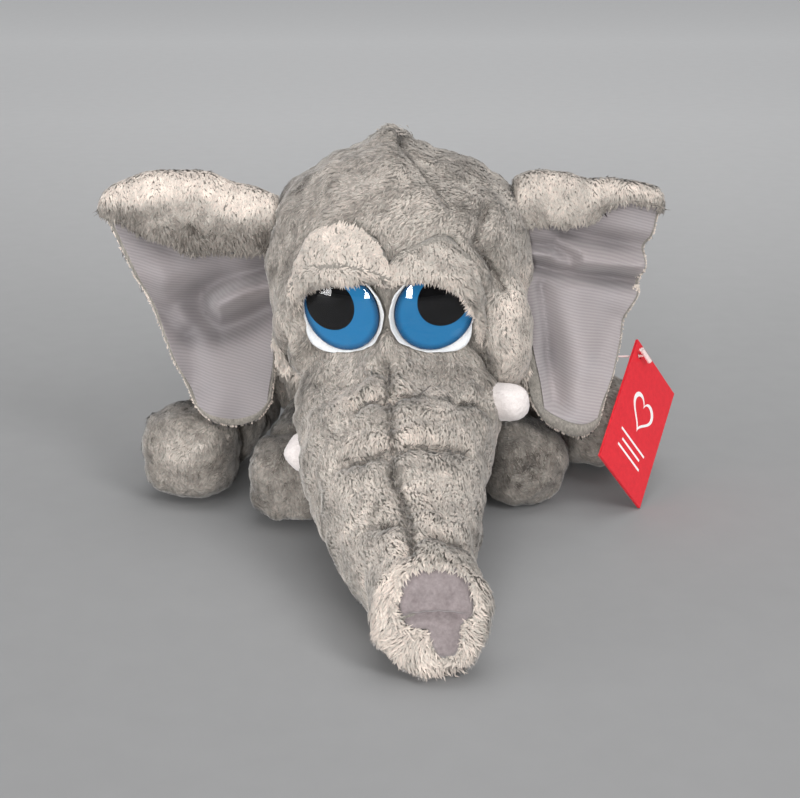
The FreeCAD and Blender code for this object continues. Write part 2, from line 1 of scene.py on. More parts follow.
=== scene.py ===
"""Looks of the sitting plush elephant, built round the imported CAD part.

Shapes are drawn in millimetres in the layout frame of the part (ears' line at y = 0, floor at
z = 0) and moved to the row frame by the place of the neck joint. left_ is at -x, right_ at +x.
"""
import json
import math
import bmesh
import bpy
import numpy as np
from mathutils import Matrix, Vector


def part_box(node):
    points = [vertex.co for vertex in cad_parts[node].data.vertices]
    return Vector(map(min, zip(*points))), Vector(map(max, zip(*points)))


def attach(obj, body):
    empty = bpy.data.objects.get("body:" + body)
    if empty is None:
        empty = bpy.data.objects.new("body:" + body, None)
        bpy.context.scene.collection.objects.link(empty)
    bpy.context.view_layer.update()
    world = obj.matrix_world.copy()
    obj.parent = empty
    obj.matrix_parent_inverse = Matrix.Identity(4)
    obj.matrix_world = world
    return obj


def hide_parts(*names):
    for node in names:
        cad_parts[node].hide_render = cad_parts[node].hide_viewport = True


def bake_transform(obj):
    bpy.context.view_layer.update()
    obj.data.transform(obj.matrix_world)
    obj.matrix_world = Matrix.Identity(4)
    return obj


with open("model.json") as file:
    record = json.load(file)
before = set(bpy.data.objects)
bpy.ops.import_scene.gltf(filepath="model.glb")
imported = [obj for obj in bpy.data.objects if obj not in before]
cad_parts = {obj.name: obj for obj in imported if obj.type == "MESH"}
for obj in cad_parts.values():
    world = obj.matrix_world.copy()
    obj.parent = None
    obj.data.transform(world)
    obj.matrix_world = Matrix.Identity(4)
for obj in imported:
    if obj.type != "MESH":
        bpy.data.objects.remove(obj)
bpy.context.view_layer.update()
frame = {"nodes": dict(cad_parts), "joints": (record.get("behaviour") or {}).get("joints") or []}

MM = 0.001
TAU = 2.0 * math.pi
SIDES = {"left": -1.0, "right": 1.0}
HEAD_CENTRE = np.array([-0.5, 8.0, 108.0])
TORSO_YAW = math.radians(10.0)


def joint_place(name):
    """Position of a joint in the row frame, in millimetres."""
    for joint in frame["joints"]:
        if joint["name"] == name:
            return np.array(joint["pos_m"], float) / MM
    raise ValueError(name)


SHIFT = joint_place("head_turn") - HEAD_CENTRE


def node_box(name):
    """Lowest and highest corner of a CAD node in the layout frame, in millimetres."""
    low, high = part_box(name)
    return np.array(low) / MM - SHIFT, np.array(high) / MM - SHIFT


# ---------------------------------------------------------------- small maths

def unit(vectors):
    """Vectors brought to length one."""
    vectors = np.asarray(vectors, float)
    length = np.linalg.norm(vectors, axis=-1, keepdims=True)
    return vectors / np.maximum(length, 1e-9)


def smooth(low, high, values):
    """0 below low, 1 above high, with a soft change between."""
    share = np.clip((values - low) / (high - low), 0.0, 1.0)
    return share * share * (3.0 - 2.0 * share)


def near(distance, width):
    """1 at a line or spot, falling softly to 0 within a few widths."""
    return np.exp(-(distance / width) ** 2)


def bearings(count):
    """Even angles round a ring."""
    return np.arange(count) / count * TAU


def table_at(table, values, column=1):
    """Values read from a table of rows, the first number being where each row stands."""
    rows = np.array(table, float)
    return np.interp(values, rows[:, 0], rows[:, column])


def tube_ring(centre, radius, first, second, angles):
    """Circle about a centre in the plane of two unit vectors."""
    return centre + radius * (np.cos(angles)[:, None] * first + np.sin(angles)[:, None] * second)


def waves(points, size, seed, count=20):
    """Smooth noise of about unit spread, with features of that size."""
    rng = np.random.default_rng(seed)
    directions = unit(rng.normal(size=(count, 3)))
    turns = directions * (TAU / size * rng.uniform(0.7, 1.5, count))[:, None]
    phases = rng.uniform(0.0, TAU, count)
    return np.sin(points @ turns.T + phases).sum(axis=1) * math.sqrt(2.0 / count)


def line_distance(points, line):
    """Distance of each point from a polyline, and how far along it the nearest place is."""
    line = np.asarray(line, float)
    best = np.full(len(points), 1e9)
    along = np.zeros(len(points))
    run = 0.0
    for first, last in zip(line[:-1], line[1:]):
        step = last - first
        length = np.linalg.norm(step)
        share = np.clip((points - first) @ step / max(length ** 2, 1e-9), 0.0, 1.0)
        distance = np.linalg.norm(points - first - share[:, None] * step, axis=1)
        nearer = distance < best
        best = np.where(nearer, distance, best)
        along = np.where(nearer, run + share * length, along)
        run += length
    return best, along


def torso_point(x, y, z):
    """From the torso's own axes to the layout frame."""
    cosine = math.cos(TORSO_YAW)
    sine = math.sin(TORSO_YAW)
    return np.array([x * cosine - y * sine, x * sine + y * cosine, z])


def curve_through(knots, count):
    """Points of a smooth curve through the knots, even in knot order."""
    knots = np.asarray(knots, float)
    places = np.linspace(0.0, len(knots) - 1.0, count)
    index = np.minimum(places.astype(int), len(knots) - 2)
    share = (places - index)[:, None]
    before = knots[np.maximum(index - 1, 0)]
    first = knots[index]
    second = knots[index + 1]
    after = knots[np.minimum(index + 2, len(knots) - 1)]
    return 0.5 * (2.0 * first + (second - before) * share
                  + (2.0 * before - 5.0 * first + 4.0 * second - after) * share ** 2
                  + (3.0 * first - before - 3.0 * second + after) * share ** 3)


def run_along(line):
    """Length of a polyline up to each of its points."""
    steps = np.linalg.norm(np.diff(line, axis=0), axis=1)
    return np.concatenate([[0.0], np.cumsum(steps)])


def spots_at(at, run, line):
    """Points of a polyline at lengths along it."""
    return np.stack([np.interp(at, run, line[:, axis]) for axis in range(line.shape[1])], axis=1)


def even_curve(knots, count):
    """Points evenly spaced along a smooth curve through the knots."""
    dense = curve_through(knots, 400)
    run = run_along(dense)
    return spots_at(np.linspace(0.0, run[-1], count), run, dense)


def uneven(points, *layers):
    """Sum of waves, each given by its height, size and seed."""
    return sum(height * waves(points, size, seed) for height, size, seed in layers)


# ---------------------------------------------------------------- meshes

def new_object(name, mesh):
    """Object of a mesh, linked to the scene."""
    found = bpy.data.objects.new(name, mesh)
    bpy.context.scene.collection.objects.link(found)
    return found


def shade_faces(mesh, smoothly=True):
    """Sets every face smooth or flat."""
    mesh.polygons.foreach_set("use_smooth", [smoothly] * len(mesh.polygons))


def make_object(name, verts, faces):
    """Mesh object in the row frame from layout millimetres."""
    mesh = bpy.data.meshes.new(name)
    placed = (np.asarray(verts, float) + SHIFT) * MM
    mesh.from_pydata(placed.tolist(), [], [list(map(int, face)) for face in faces])
    mesh.update()
    shade_faces(mesh)
    return new_object(name, mesh)


def read_vectors(mesh, what):
    """One vector of every mesh point: its place or its normal."""
    flat = np.empty(len(mesh.vertices) * 3, np.float32)
    mesh.vertices.foreach_get(what, flat)
    return flat.reshape(-1, 3).astype(float)


def layout_points(found):
    """An object's mesh points in layout millimetres."""
    return read_vectors(found.data, "co") / MM - SHIFT


def point_normals(found):
    """Unit normals of an object's mesh points."""
    return read_vectors(found.data, "normal")


def set_layout_points(found, points):
    """Moves an object's mesh points to layout millimetres."""
    placed = ((points + SHIFT) * MM).astype(np.float32)
    found.data.vertices.foreach_set("co", placed.ravel())
    found.data.update()


def roughen(found, *layers):
    """Gives a mesh the slight unevenness of stuffed cloth; layers as for uneven."""
    points = layout_points(found)
    swell = uneven(points, *layers)
    set_layout_points(found, points + point_normals(found) * swell[:, None])


def shown_mesh(found):
    """New mesh of an object with its modifiers applied."""
    shown = bpy.context.evaluated_depsgraph_get()
    return bpy.data.meshes.new_from_object(found.evaluated_get(shown))


def fix_normals(found):
    """Turns every face of a closed mesh outward."""
    work = bmesh.new()
    work.from_mesh(found.data)
    bmesh.ops.recalc_face_normals(work, faces=work.faces)
    if work.calc_volume(signed=True) < 0.0:
        bmesh.ops.reverse_faces(work, faces=work.faces)
    work.to_mesh(found.data)
    work.free()
    shade_faces(found.data)
    found.data.update()


def loft(rings, first=None, last=None):
    """Tube through rings of points, closed by an end point at either end."""
    rings = np.asarray(rings, float)
    count, around = rings.shape[:2]
    row = np.arange(count - 1)[:, None] * around
    here = np.arange(around)[None, :]
    there = (here + 1) % around
    quads = np.stack([row + here, row + there, row + around + there, row + around + here], -1)
    faces = quads.reshape(-1, 4).tolist()
    verts = rings.reshape(-1, 3).tolist()
    if first is not None:
        verts.append(list(first))
        faces += [[len(verts) - 1, (k + 1) % around, k] for k in range(around)]
    if last is not None:
        verts.append(list(last))
        base = (count - 1) * around
        faces += [[len(verts) - 1, base + k, base + (k + 1) % around] for k in range(around)]
    return np.array(verts), faces


def globe(centre, radii, power=2.0, turn=None):
    """Rounded box or ball: a superellipsoid."""
    angles = bearings(48)
    rings = [np.stack([math.cos(latitude) * np.cos(angles), math.cos(latitude) * np.sin(angles),
                       np.full(48, math.sin(latitude))], axis=1)
             for latitude in np.radians(np.linspace(-84.0, 84.0, 27))]
    verts, faces = loft(rings, (0.0, 0.0, -1.0), (0.0, 0.0, 1.0))
    length = (np.abs(verts) ** power).sum(axis=1) ** (1.0 / power)
    verts = verts / length[:, None] * np.asarray(radii, float)
    if turn is not None:
        verts = verts @ np.asarray(turn).T
    return verts + np.asarray(centre, float), faces


def turn_about(axis, degrees):
    """Rotation matrix about x, y or z."""
    cosine = math.cos(math.radians(degrees))
    sine = math.sin(math.radians(degrees))
    first = (axis + 1) % 3
    second = (axis + 2) % 3
    matrix = np.eye(3)
    matrix[first, first] = cosine
    matrix[second, second] = cosine
    matrix[first, second] = -sine
    matrix[second, first] = sine
    return matrix


def fuse(name, parts, voxel, smoothing):
    """One even quad skin round overlapping closed parts."""
    verts = []
    faces = []
    for part_verts, part_faces in parts:
        start = len(verts)
        verts += np.asarray(part_verts).tolist()
        faces += [[index + start for index in face] for face in part_faces]
    rough = make_object(name + "_rough", verts, faces)
    remesh = rough.modifiers.new("remesh", "REMESH")
    remesh.mode = "VOXEL"
    remesh.voxel_size = voxel * MM
    even = rough.modifiers.new("even", "SMOOTH")
    even.factor = 0.5
    even.iterations = smoothing
    mesh = shown_mesh(rough)
    bpy.data.objects.remove(rough)
    mesh.name = name
    shade_faces(mesh)
    return new_object(name, mesh)


HELD_LEAST = 0.02
CLOTH_FRAMES = 14


def stuff(found, pinned, pressure, most):
    """Cloth run that fills a skin, with its seams held; no point moves more than most."""
    start = layout_points(found)
    group = found.vertex_groups.new(name="held")
    for index, weight in enumerate(pinned):
        if weight > HELD_LEAST:
            group.add([index], float(weight), "REPLACE")
    cloth = found.modifiers.new("cloth", "CLOTH")
    settings = cloth.settings
    settings.use_pressure = True
    settings.uniform_pressure_force = pressure
    settings.tension_stiffness = 12.0
    settings.compression_stiffness = 12.0
    settings.bending_stiffness = 0.6
    settings.vertex_group_mass = "held"
    settings.effector_weights.gravity = 0.0
    scene = bpy.context.scene
    for number in range(1, CLOTH_FRAMES + 1):
        scene.frame_set(number)
    mesh = shown_mesh(found)
    ended = read_vectors(mesh, "co") / MM - SHIFT
    found.modifiers.remove(cloth)
    bpy.data.meshes.remove(mesh)
    scene.frame_set(1)
    moved = ended - start
    share = np.minimum(1.0, most / np.maximum(np.linalg.norm(moved, axis=1), 1e-6))
    set_layout_points(found, start + moved * share[:, None])


def refine(found):
    """Applies one level of subdivision to the mesh."""
    divide = found.modifiers.new("divide", "SUBSURF")
    divide.levels = 1
    divide.render_levels = 1
    mesh = shown_mesh(found)
    found.modifiers.remove(divide)
    found.data = mesh
    shade_faces(mesh)


# ---------------------------------------------------------------- materials

class Look:
    """A node material, with short ways to add its nodes."""

    def __init__(self, name):
        self.material = bpy.data.materials.new(name)
        self.material.use_nodes = True
        self.nodes = self.material.node_tree.nodes
        self.links = self.material.node_tree.links
        self.shader = self.nodes["Principled BSDF"]

    def feed(self, node, inputs):
        """Links the inputs that are sockets and sets the others."""
        for name, value in inputs.items():
            if isinstance(value, bpy.types.NodeSocket):
                self.links.new(value, node.inputs[name])
            else:
                node.inputs[name].default_value = value

    def add(self, kind, inputs=None, **settings):
        """New node with its settings and inputs."""
        node = self.nodes.new("ShaderNode" + kind)
        for name, value in settings.items():
            setattr(node, name, value)
        self.feed(node, inputs or {})
        return node

    def coordinates(self):
        return self.add("TexCoord").outputs["Object"]

    def place(self, scale=(1.0, 1.0, 1.0), turn=(0.0, 0.0, 0.0)):
        """Object coordinates, stretched and turned."""
        mapping = self.add("Mapping", {"Vector": self.coordinates(), "Scale": scale,
                                       "Rotation": turn})
        return mapping.outputs["Vector"]

    def noise(self, vector, scale, detail, roughness=0.6):
        return self.add("TexNoise", {"Scale": scale, "Detail": detail, "Roughness": roughness,
                                     "Vector": vector}).outputs["Fac"]

    def tone(self, name):
        """A value stored on the mesh's points."""
        return self.add("Attribute", attribute_name=name).outputs["Fac"]

    def ramp(self, value, *stops):
        """Colour between stops of a position and a colour."""
        ramp = self.add("ValToRGB", {"Fac": value})
        elements = ramp.color_ramp.elements
        while len(elements) < len(stops):
            elements.new(0.5)
        for element, (position, colour) in zip(elements, stops):
            element.position = position
            element.color = (*colour, 1.0)
        return ramp.outputs["Color"]

    def times(self, share, first, second):
        """First colour multiplied by the second, as far as share says."""
        mix = self.add("Mix", {"Factor": share, "A": first, "B": second},
                       data_type="RGBA", blend_type="MULTIPLY")
        return mix.outputs["Result"]

    def bump(self, height, distance, strength):
        bump = self.add("Bump", {"Distance": distance, "Strength": strength, "Height": height})
        self.feed(self.shader, {"Normal": bump.outputs["Normal"]})

    def finish(self, colour, roughness, **others):
        """Colour and surface of the shader; an underscore stands for a space."""
        self.feed(self.shader, {"Base Color": colour, "Roughness": roughness})
        self.feed(self.shader, {name.replace("_", " "): value for name, value in others.items()})
        return self.material


def fur_material():
    """Pile: dark at the root and pale at the tip, from each lock's own tone."""
    look = Look("plush_pile")
    colour = look.ramp(look.tone("tone"), (0.0, (0.07, 0.06, 0.052)), (0.25, (0.245, 0.222, 0.2)),
                       (0.5, (0.42, 0.384, 0.348)), (0.75, (0.62, 0.545, 0.49)),
                       (1.0, (0.86, 0.755, 0.675)))
    patches = look.ramp(look.noise(look.place(), 900.0, 3.0),
                        (0.35, (0.86, 0.9, 0.88)), (0.65, (1.0, 0.93, 0.90)))
    return look.finish(look.times(0.8, colour, patches), 0.75, Sheen_Weight=0.25,
                       Sheen_Roughness=0.5, Specular_IOR_Level=0.25)


def skin_material():
    """Backing of the plush, seen in the gaps between locks."""
    look = Look("plush_backing")
    fine = look.noise(look.place((1.0, 1.0, 0.35)), 1100.0, 4.0, 0.7)
    broad = look.noise(look.place(), 55.0, 3.0)
    colour = look.ramp(fine, (0.25, (0.15, 0.138, 0.12)), (0.5, (0.27, 0.25, 0.225)),
                       (0.75, (0.42, 0.385, 0.345)))
    patches = look.ramp(broad, (0.35, (0.75, 0.75, 0.74)), (0.7, (1.0, 0.98, 0.95)))
    look.bump(fine, 0.0006, 0.6)
    return look.finish(look.times(0.8, colour, patches), 0.9, Sheen_Weight=0.2)


def lining_material():
    """Fine ribbed tricot, mauve grey, with painted shade in its folds and under the flap."""
    look = Look("ribbed_tricot")
    place = look.place(turn=(0.0, math.radians(-14.0), 0.0))
    ribs = look.add("TexWave", {"Scale": 250.0, "Distortion": 0.8, "Detail": 2.0,
                                "Detail Scale": 3.0, "Vector": place},
                    wave_type="BANDS", bands_direction="Z").outputs["Fac"]
    ribbed = look.ramp(ribs, (0.1, (0.325, 0.292, 0.296)), (0.9, (0.39, 0.352, 0.352)))
    patches = look.ramp(look.noise(place, 40.0, 4.0),
                        (0.3, (0.88, 0.9, 0.92)), (0.7, (1.0, 0.97, 0.96)))
    # painted shade: the stored values darken the cloth in its folds and under the flap
    depth = look.ramp(look.tone("painted_shade"), (0.0, (0.3, 0.3, 0.31)), (1.0, (1.0, 1.0, 1.0)))
    look.bump(ribs, 0.00015, 0.4)
    return look.finish(look.times(1.0, look.times(0.6, ribbed, patches), depth), 0.62,
                       Sheen_Weight=0.35)


def cloth_material(name, dark, light, scale, roughness=0.85, sheen=0.3, depth=0.0004):
    """Matted cloth such as felt: fibre noise in two close colours."""
    look = Look(name)
    fine = look.noise(look.place(), scale, 6.0, 0.7)
    look.bump(fine, depth, 0.5)
    return look.finish(look.ramp(fine, (0.3, dark), (0.7, light)), roughness, Sheen_Weight=sheen)


def plastic_material(name, dark, light, roughness, coat=0.0, shine=0.5):
    """Moulded plastic with a faint cloud in its colour."""
    look = Look(name)
    cloud = look.noise(look.place(), 300.0, 3.0)
    return look.finish(look.ramp(cloud, (0.3, dark), (0.7, light)), roughness,
                       Specular_IOR_Level=shine, Coat_Weight=coat, Coat_Roughness=0.05)


def iris_material(name, centre):
    """Painted ring: clear blue, darker towards its rim."""
    look = Look(name)
    place = look.coordinates()
    away = look.add("VectorMath", {0: place, 1: tuple((centre + SHIFT) * MM)},
                    operation="DISTANCE").outputs["Value"]
    reach = look.add("MapRange", {"From Max": DOME_RADIUS * MM, "Value": away})
    rings = look.ramp(reach.outputs["Result"],
                      (0.0, (0.015, 0.15, 0.335)), (0.84, (0.016, 0.165, 0.36)),
                      (0.94, (0.008, 0.09, 0.21)), (1.0, (0.004, 0.04, 0.10)))
    cloud = look.ramp(look.noise(place, 160.0, 4.0),
                      (0.3, (0.86, 0.9, 0.94)), (0.7, (1.0, 1.0, 1.0)))
    return look.finish(look.times(0.6, rings, cloud), 0.5, Specular_IOR_Level=0.15)


def dome_material():
    """Clear polished shell: sharp highlights on its front over what lies under it."""
    look = Look("clear_shell")
    look.nodes.remove(look.shader)
    side = look.add("NewGeometry").outputs["Backfacing"]
    front = look.add("Math", {0: 1.0, 1: side}, operation="SUBTRACT").outputs["Value"]
    edge = look.add("Fresnel", {"IOR": 1.5}).outputs["Fac"]
    share = look.add("Math", {0: edge, 1: front}, operation="MULTIPLY").outputs["Value"]
    clear = look.add("BsdfTransparent").outputs["BSDF"]
    gloss = look.add("BsdfGlossy", {"Roughness": 0.04}).outputs["BSDF"]
    both = look.add("MixShader", {"Fac": share, 1: clear, 2: gloss})
    look.feed(look.nodes["Material Output"], {"Surface": both.outputs["Shader"]})
    return look.material


DOME_RADIUS = 17.2
PILE = fur_material()
BACKING = skin_material()
LINING = lining_material()
FELT = cloth_material("white_felt_fibre", (0.62, 0.63, 0.645), (0.80, 0.81, 0.82), 1500.0)
TUSK = cloth_material("tusk_felt_fibre", (0.60, 0.54, 0.52), (0.74, 0.69, 0.67), 1300.0)
FIBRE = cloth_material("filling_fibre", (0.7, 0.7, 0.68), (0.85, 0.85, 0.83), 700.0)
POUCH = cloth_material("pouch_weave", (0.45, 0.43, 0.4), (0.6, 0.58, 0.55), 1800.0)
PAD = cloth_material("pad_tricot", (0.165, 0.135, 0.135), (0.265, 0.225, 0.225), 600.0, 0.7, 0.4)
RIBBON = cloth_material("label_satin", (0.74, 0.74, 0.74), (0.86, 0.86, 0.86), 2600.0, 0.45, 0.2)
CARD = cloth_material("red_card_stock", (0.66, 0.016, 0.028), (0.78, 0.024, 0.038), 420.0,
                      0.38, 0.0, 0.00004)
PRINT = cloth_material("white_print", (0.85, 0.84, 0.83), (0.93, 0.92, 0.91), 900.0,
                       0.4, 0.0, 0.00003)
BLACK = plastic_material("black_plastic_disc", (0.002, 0.002, 0.002), (0.004, 0.004, 0.005),
                         0.6, shine=0.08)
WHITE = plastic_material("white_moulding", (0.72, 0.72, 0.70), (0.82, 0.82, 0.80), 0.4)
PIN = plastic_material("fastener_nylon", (0.80, 0.62, 0.60), (0.90, 0.74, 0.72), 0.3, 0.3)
PELLET = plastic_material("pellet_plastic", (0.55, 0.55, 0.5), (0.75, 0.75, 0.7), 0.4)
SHELL = dome_material()


def paint(found, material):
    """Gives an object one material."""
    found.data.materials.clear()
    found.data.materials.append(material)


def paint_node(name, material):
    """Gives a CAD node one material in all its slots."""
    node = frame["nodes"][name]
    if not node.data.materials:
        node.data.materials.append(material)
    for index in range(len(node.data.materials)):
        node.data.materials[index] = material


# ---------------------------------------------------------------- pile

def scatter(found, spacing, seed):
    """Even random points on a quad skin: their places and normals."""
    rng = np.random.default_rng(seed)
    mesh = found.data
    mesh.calc_loop_triangles()
    corners = np.empty(len(mesh.loop_triangles) * 3, np.int32)
    mesh.loop_triangles.foreach_get("vertices", corners)
    corners = corners.reshape(-1, 3)
    points = layout_points(found)
    normals = point_normals(found)
    first, second, third = (points[corners[:, corner]] for corner in range(3))
    area = np.linalg.norm(np.cross(second - first, third - first), axis=1) / 2.0
    run = np.cumsum(area) / spacing ** 2
    count = int(run[-1])
    picks = np.arange(count) + rng.uniform(0.0, 1.0, count)
    index = np.minimum(np.searchsorted(run, picks), len(run) - 1)
    one = rng.uniform(0.0, 1.0, count)
    two = rng.uniform(0.0, 1.0, count)
    folded = one + two > 1.0
    one = np.where(folded, 1.0 - one, one)[:, None]
    two = np.where(folded, 1.0 - two, two)[:, None]
    place = first[index] + one * (second - first)[index] + two * (third - first)[index]
    leaning = (normals[corners[index, 0]] * (1.0 - one - two) + normals[corners[index, 1]] * one
               + normals[corners[index, 2]] * two)
    return place, unit(leaning)


LOCK_FACES = np.array([[0, 2, 1], [0, 3, 2], [0, 1, 3], [4, 1, 2], [4, 2, 3], [4, 3, 1]])
MOST_LOCKS = 33000
FLOOR_GAP = 0.25


def add_values(mesh, name, values):
    """Stores a number on each mesh point, for a material to read."""
    attribute = mesh.attributes.new(name, "FLOAT", "POINT")
    attribute.data.foreach_set("value", values.ravel().astype(np.float32))


def lock_mesh(name, verts, tones, facing):
    """One mesh of locks: five points and six faces for each."""
    count = len(verts)
    faces = (LOCK_FACES[None] + 5 * np.arange(count)[:, None, None]).reshape(-1, 3)
    mesh = bpy.data.meshes.new(name)
    mesh.vertices.add(count * 5)
    placed = ((verts.reshape(-1, 3) + SHIFT) * MM).astype(np.float32)
    mesh.vertices.foreach_set("co", placed.ravel())
    mesh.loops.add(len(faces) * 3)
    mesh.loops.foreach_set("vertex_index", faces.ravel().astype(np.int32))
    mesh.polygons.add(len(faces))
    mesh.polygons.foreach_set("loop_start", np.arange(len(faces), dtype=np.int32) * 3)
    mesh.update(calc_edges=True)
    shade_faces(mesh)
    add_values(mesh, "tone", np.clip(tones, 0.0, 1.0))
    mesh.normals_split_custom_set_from_vertices(facing.reshape(-1, 3).tolist())
    found = new_object(name, mesh)
    paint(found, PILE)
    return found


def grow(name, place, normal, nap, length, width, lift, tone, seed, hold, mottle=0.08):
    """Locks of pile as small closed bent spindles, in meshes that hold fixes to their body.

    nap is the way the pile lies, lift the rise of a lock as a share of its length; nap, length
    and lift may be one value for all."""
    rng = np.random.default_rng(seed)
    count = len(place)
    nap = np.asarray(nap, float)
    nap = nap - (nap * normal).sum(axis=1)[:, None] * normal
    nap = unit(nap + 1e-4)
    side = np.cross(normal, nap)
    swirl = 0.32 * waves(place, 15.0, seed + 1) + 0.26 * rng.normal(size=count)
    along = nap * np.cos(swirl)[:, None] + side * np.sin(swirl)[:, None]
    across = np.cross(normal, along)
    clump = np.stack([waves(place, 2.8, seed + 2), waves(place, 2.8, seed + 3)], axis=1)
    length = (length * rng.uniform(0.75, 1.2, count))[:, None]
    width = (width * rng.uniform(0.7, 1.25, count))[:, None]
    rise = np.clip(lift * rng.uniform(0.6, 1.3, count), 0.03, 0.95)[:, None]
    flat = np.sqrt(1.0 - rise ** 2)
    root = place - normal * 0.5
    middle = place + normal * (rise * length * 0.55 + 0.3) + along * (flat * length * 0.35)
    tip = (place + normal * (rise * length * 0.9 + 0.1) + along * (flat * length * 0.95)
           + along * clump[:, :1] * 0.4 + across * clump[:, 1:] * 0.5)
    verts = np.stack([root, middle - across * width * 0.5, middle + across * width * 0.5,
                      middle + normal * width * 0.25, tip], axis=1)
    verts[:, :, 2] = np.maximum(verts[:, :, 2], FLOOR_GAP)
    own = np.clip(tone + mottle * rng.normal(size=count), 0.0, 1.0)
    tones = np.stack([own * 0.64, own * 0.9, own * 0.9, own * 0.97, own * 1.0], axis=1)
    facing = np.stack([normal, unit(normal - across * 0.25), unit(normal + across * 0.25),
                       unit(normal - along * 0.1), unit(normal + along * 0.2)], axis=1)
    shares = np.array_split(np.arange(count), max(1, math.ceil(count / MOST_LOCKS)))
    for number, chosen in enumerate(shares):
        own_name = name if len(shares) == 1 else name + "_" + str(number + 1)
        hold(lock_mesh(own_name, verts[chosen], tones[chosen], facing[chosen]))


def on(body):
    """Holds a piece on one body."""
    return lambda piece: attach(piece, body)


def fringe(line, outward, spread, count, seed):
    """Points and normals along an edge line, for a row of longer locks."""
    rng = np.random.default_rng(seed)
    line = np.asarray(line, float)
    run = run_along(line)
    place = spots_at(np.sort(rng.uniform(0.0, run[-1], count)), run, line)
    place = place + rng.normal(size=(count, 3)) * spread
    return place, unit(np.tile(np.asarray(outward, float), (count, 1)))


# ---------------------------------------------------------------- camera, lights, floor

CAMERA_SPOT = np.array([0.0, -610.0, 267.0])
LAMP_AIM = np.array([0.0, 0.0, 0.07])
WORLD_STRENGTH = 0.44
FLOOR_HALF = 6000.0
# name, place, width, height, power, spread in degrees, shows in gloss
LAMPS = [("left_box", (-1.0, -0.44, 0.15), 0.46, 0.25, 5.0, 180.0, True),
         ("right_box", (0.62, -0.76, 0.76), 0.36, 0.6, 6.0, 180.0, False),
         ("eye_strip", (-0.15, -1.25, 0.25), 0.17, 0.42, 1.45, 70.0, True),
         ("top_box", (0.1, 0.1, 1.5), 1.2, 1.2, 11.0, 180.0, False),
         ("front_box", (0.1, -1.6, 1.0), 1.0, 0.8, 1.5, 180.0, False)]


def make_camera():
    """Camera of the photo, fitted to the toy's outlines."""
    camera = bpy.data.cameras.new("camera")
    camera.lens = 62.8
    camera.sensor_width = 36.0
    camera.clip_start = 0.01
    camera.clip_end = 50.0
    holder = new_object("camera", camera)
    holder.location = (CAMERA_SPOT + SHIFT) * MM
    holder.rotation_euler = (math.radians(70.0), 0.0, 0.0)
    bpy.context.scene.camera = holder


def make_lamps():
    """Soft boxes, a strip for the eyes' highlights, and an even pale world."""
    for name, spot, wide, high, power, spread, glossy in LAMPS:
        light = bpy.data.lights.new(name, "AREA")
        light.shape = "RECTANGLE"
        light.size = wide
        light.size_y = high
        light.energy = power
        light.spread = math.radians(spread)
        lamp = new_object(name, light)
        lamp.location = spot
        lamp.visible_glossy = glossy
        aim = LAMP_AIM - np.array(spot)
        lamp.rotation_euler = Vector(aim).to_track_quat("-Z", "Y").to_euler()
    world = bpy.data.worlds.new("studio")
    bpy.context.scene.world = world
    world.use_nodes = True
    background = world.node_tree.nodes["Background"]
    background.inputs["Color"].default_value = (0.98, 0.99, 1.0, 1.0)
    background.inputs["Strength"].default_value = WORLD_STRENGTH
    world.cycles_visibility.glossy = False


def make_floor():
    """Paper floor with painted light: darker grey in front, paler toward the back."""
    corners = [(-1, -1), (1, -1), (1, 1), (-1, 1)]
    floor = make_object("floor", [(x * FLOOR_HALF, y * FLOOR_HALF, 0.0) for x, y in corners],
                        [[0, 1, 2, 3]])
    look = Look("floor_paper")
    grain = look.ramp(look.noise(look.place(), 60.0, 4.0),
                      (0.3, (0.97, 0.97, 0.97)), (0.7, (1.0, 1.0, 1.0)))
    parts = look.add("SeparateXYZ", {"Vector": look.coordinates()})
    back = look.add("MapRange", {"From Min": -0.25, "From Max": 2.2, "Value": parts.outputs["Y"]})
    # painted light: the floor's colour climbs from dark grey in front to near white far back,
    # standing in for the fall of light on it
    painted_light_falloff = look.ramp(back.outputs["Result"], (0.0, (0.265, 0.265, 0.267)),
                      (0.13, (0.305, 0.305, 0.307)), (0.235, (0.385, 0.385, 0.387)),
                      (0.37, (0.52, 0.52, 0.523)), (0.565, (0.71, 0.71, 0.714)),
                      (0.96, (0.97, 0.97, 0.975)))
    paint(floor, look.finish(look.times(1.0, painted_light_falloff, grain), 0.8, Specular_IOR_Level=0.1))


make_camera()
make_lamps()
make_floor()
bpy.context.scene.view_settings.view_transform = "Standard"


# ---------------------------------------------------------------- eyes' places

class Eye:
    """Axes of one eye: its disc's centre, out, across and upward."""

    def __init__(self, side):
        low, high = node_box(side + "_eye_iris")
        self.side = side
        self.centre = (low + high) / 2.0
        self.out = unit(self.centre - HEAD_CENTRE)
        self.across = unit(np.cross([0.0, 0.0, 1.0], self.out))
        self.upward = np.cross(self.out, self.across)

    def local(self, points):
        """Across, upward and outward parts of points about the disc's centre."""
        away = points - self.centre
        return away @ self.across, away @ self.upward, away @ self.out

    def world(self, across, upward, out):
        """Layout points from parts across, upward and outward of the disc's centre."""
        parts = (np.asarray(value, float)[..., None] for value in (across, upward, out))
        across, upward, out = parts
        return self.centre + across * self.across + upward * self.upward + out * self.out

    def ring(self, reach, rise, angles):
        """Points round the disc's centre at a reach and a height over the disc."""
        return self.world(reach * np.cos(angles), reach * np.sin(angles), rise)


EYES = {side: Eye(side) for side in SIDES}
DOME_BALL = 38.0
DOME_HEIGHT = 4.12


def dome_rise(reach):
    """Height of the clear dome over the disc at a distance from its middle."""
    inside = np.sqrt(np.maximum(DOME_BALL ** 2 - reach ** 2, 0.0)) - (DOME_BALL - DOME_HEIGHT)
    return np.where(reach < DOME_RADIUS, inside, -2.5)


# ---------------------------------------------------------------- head and trunk skin

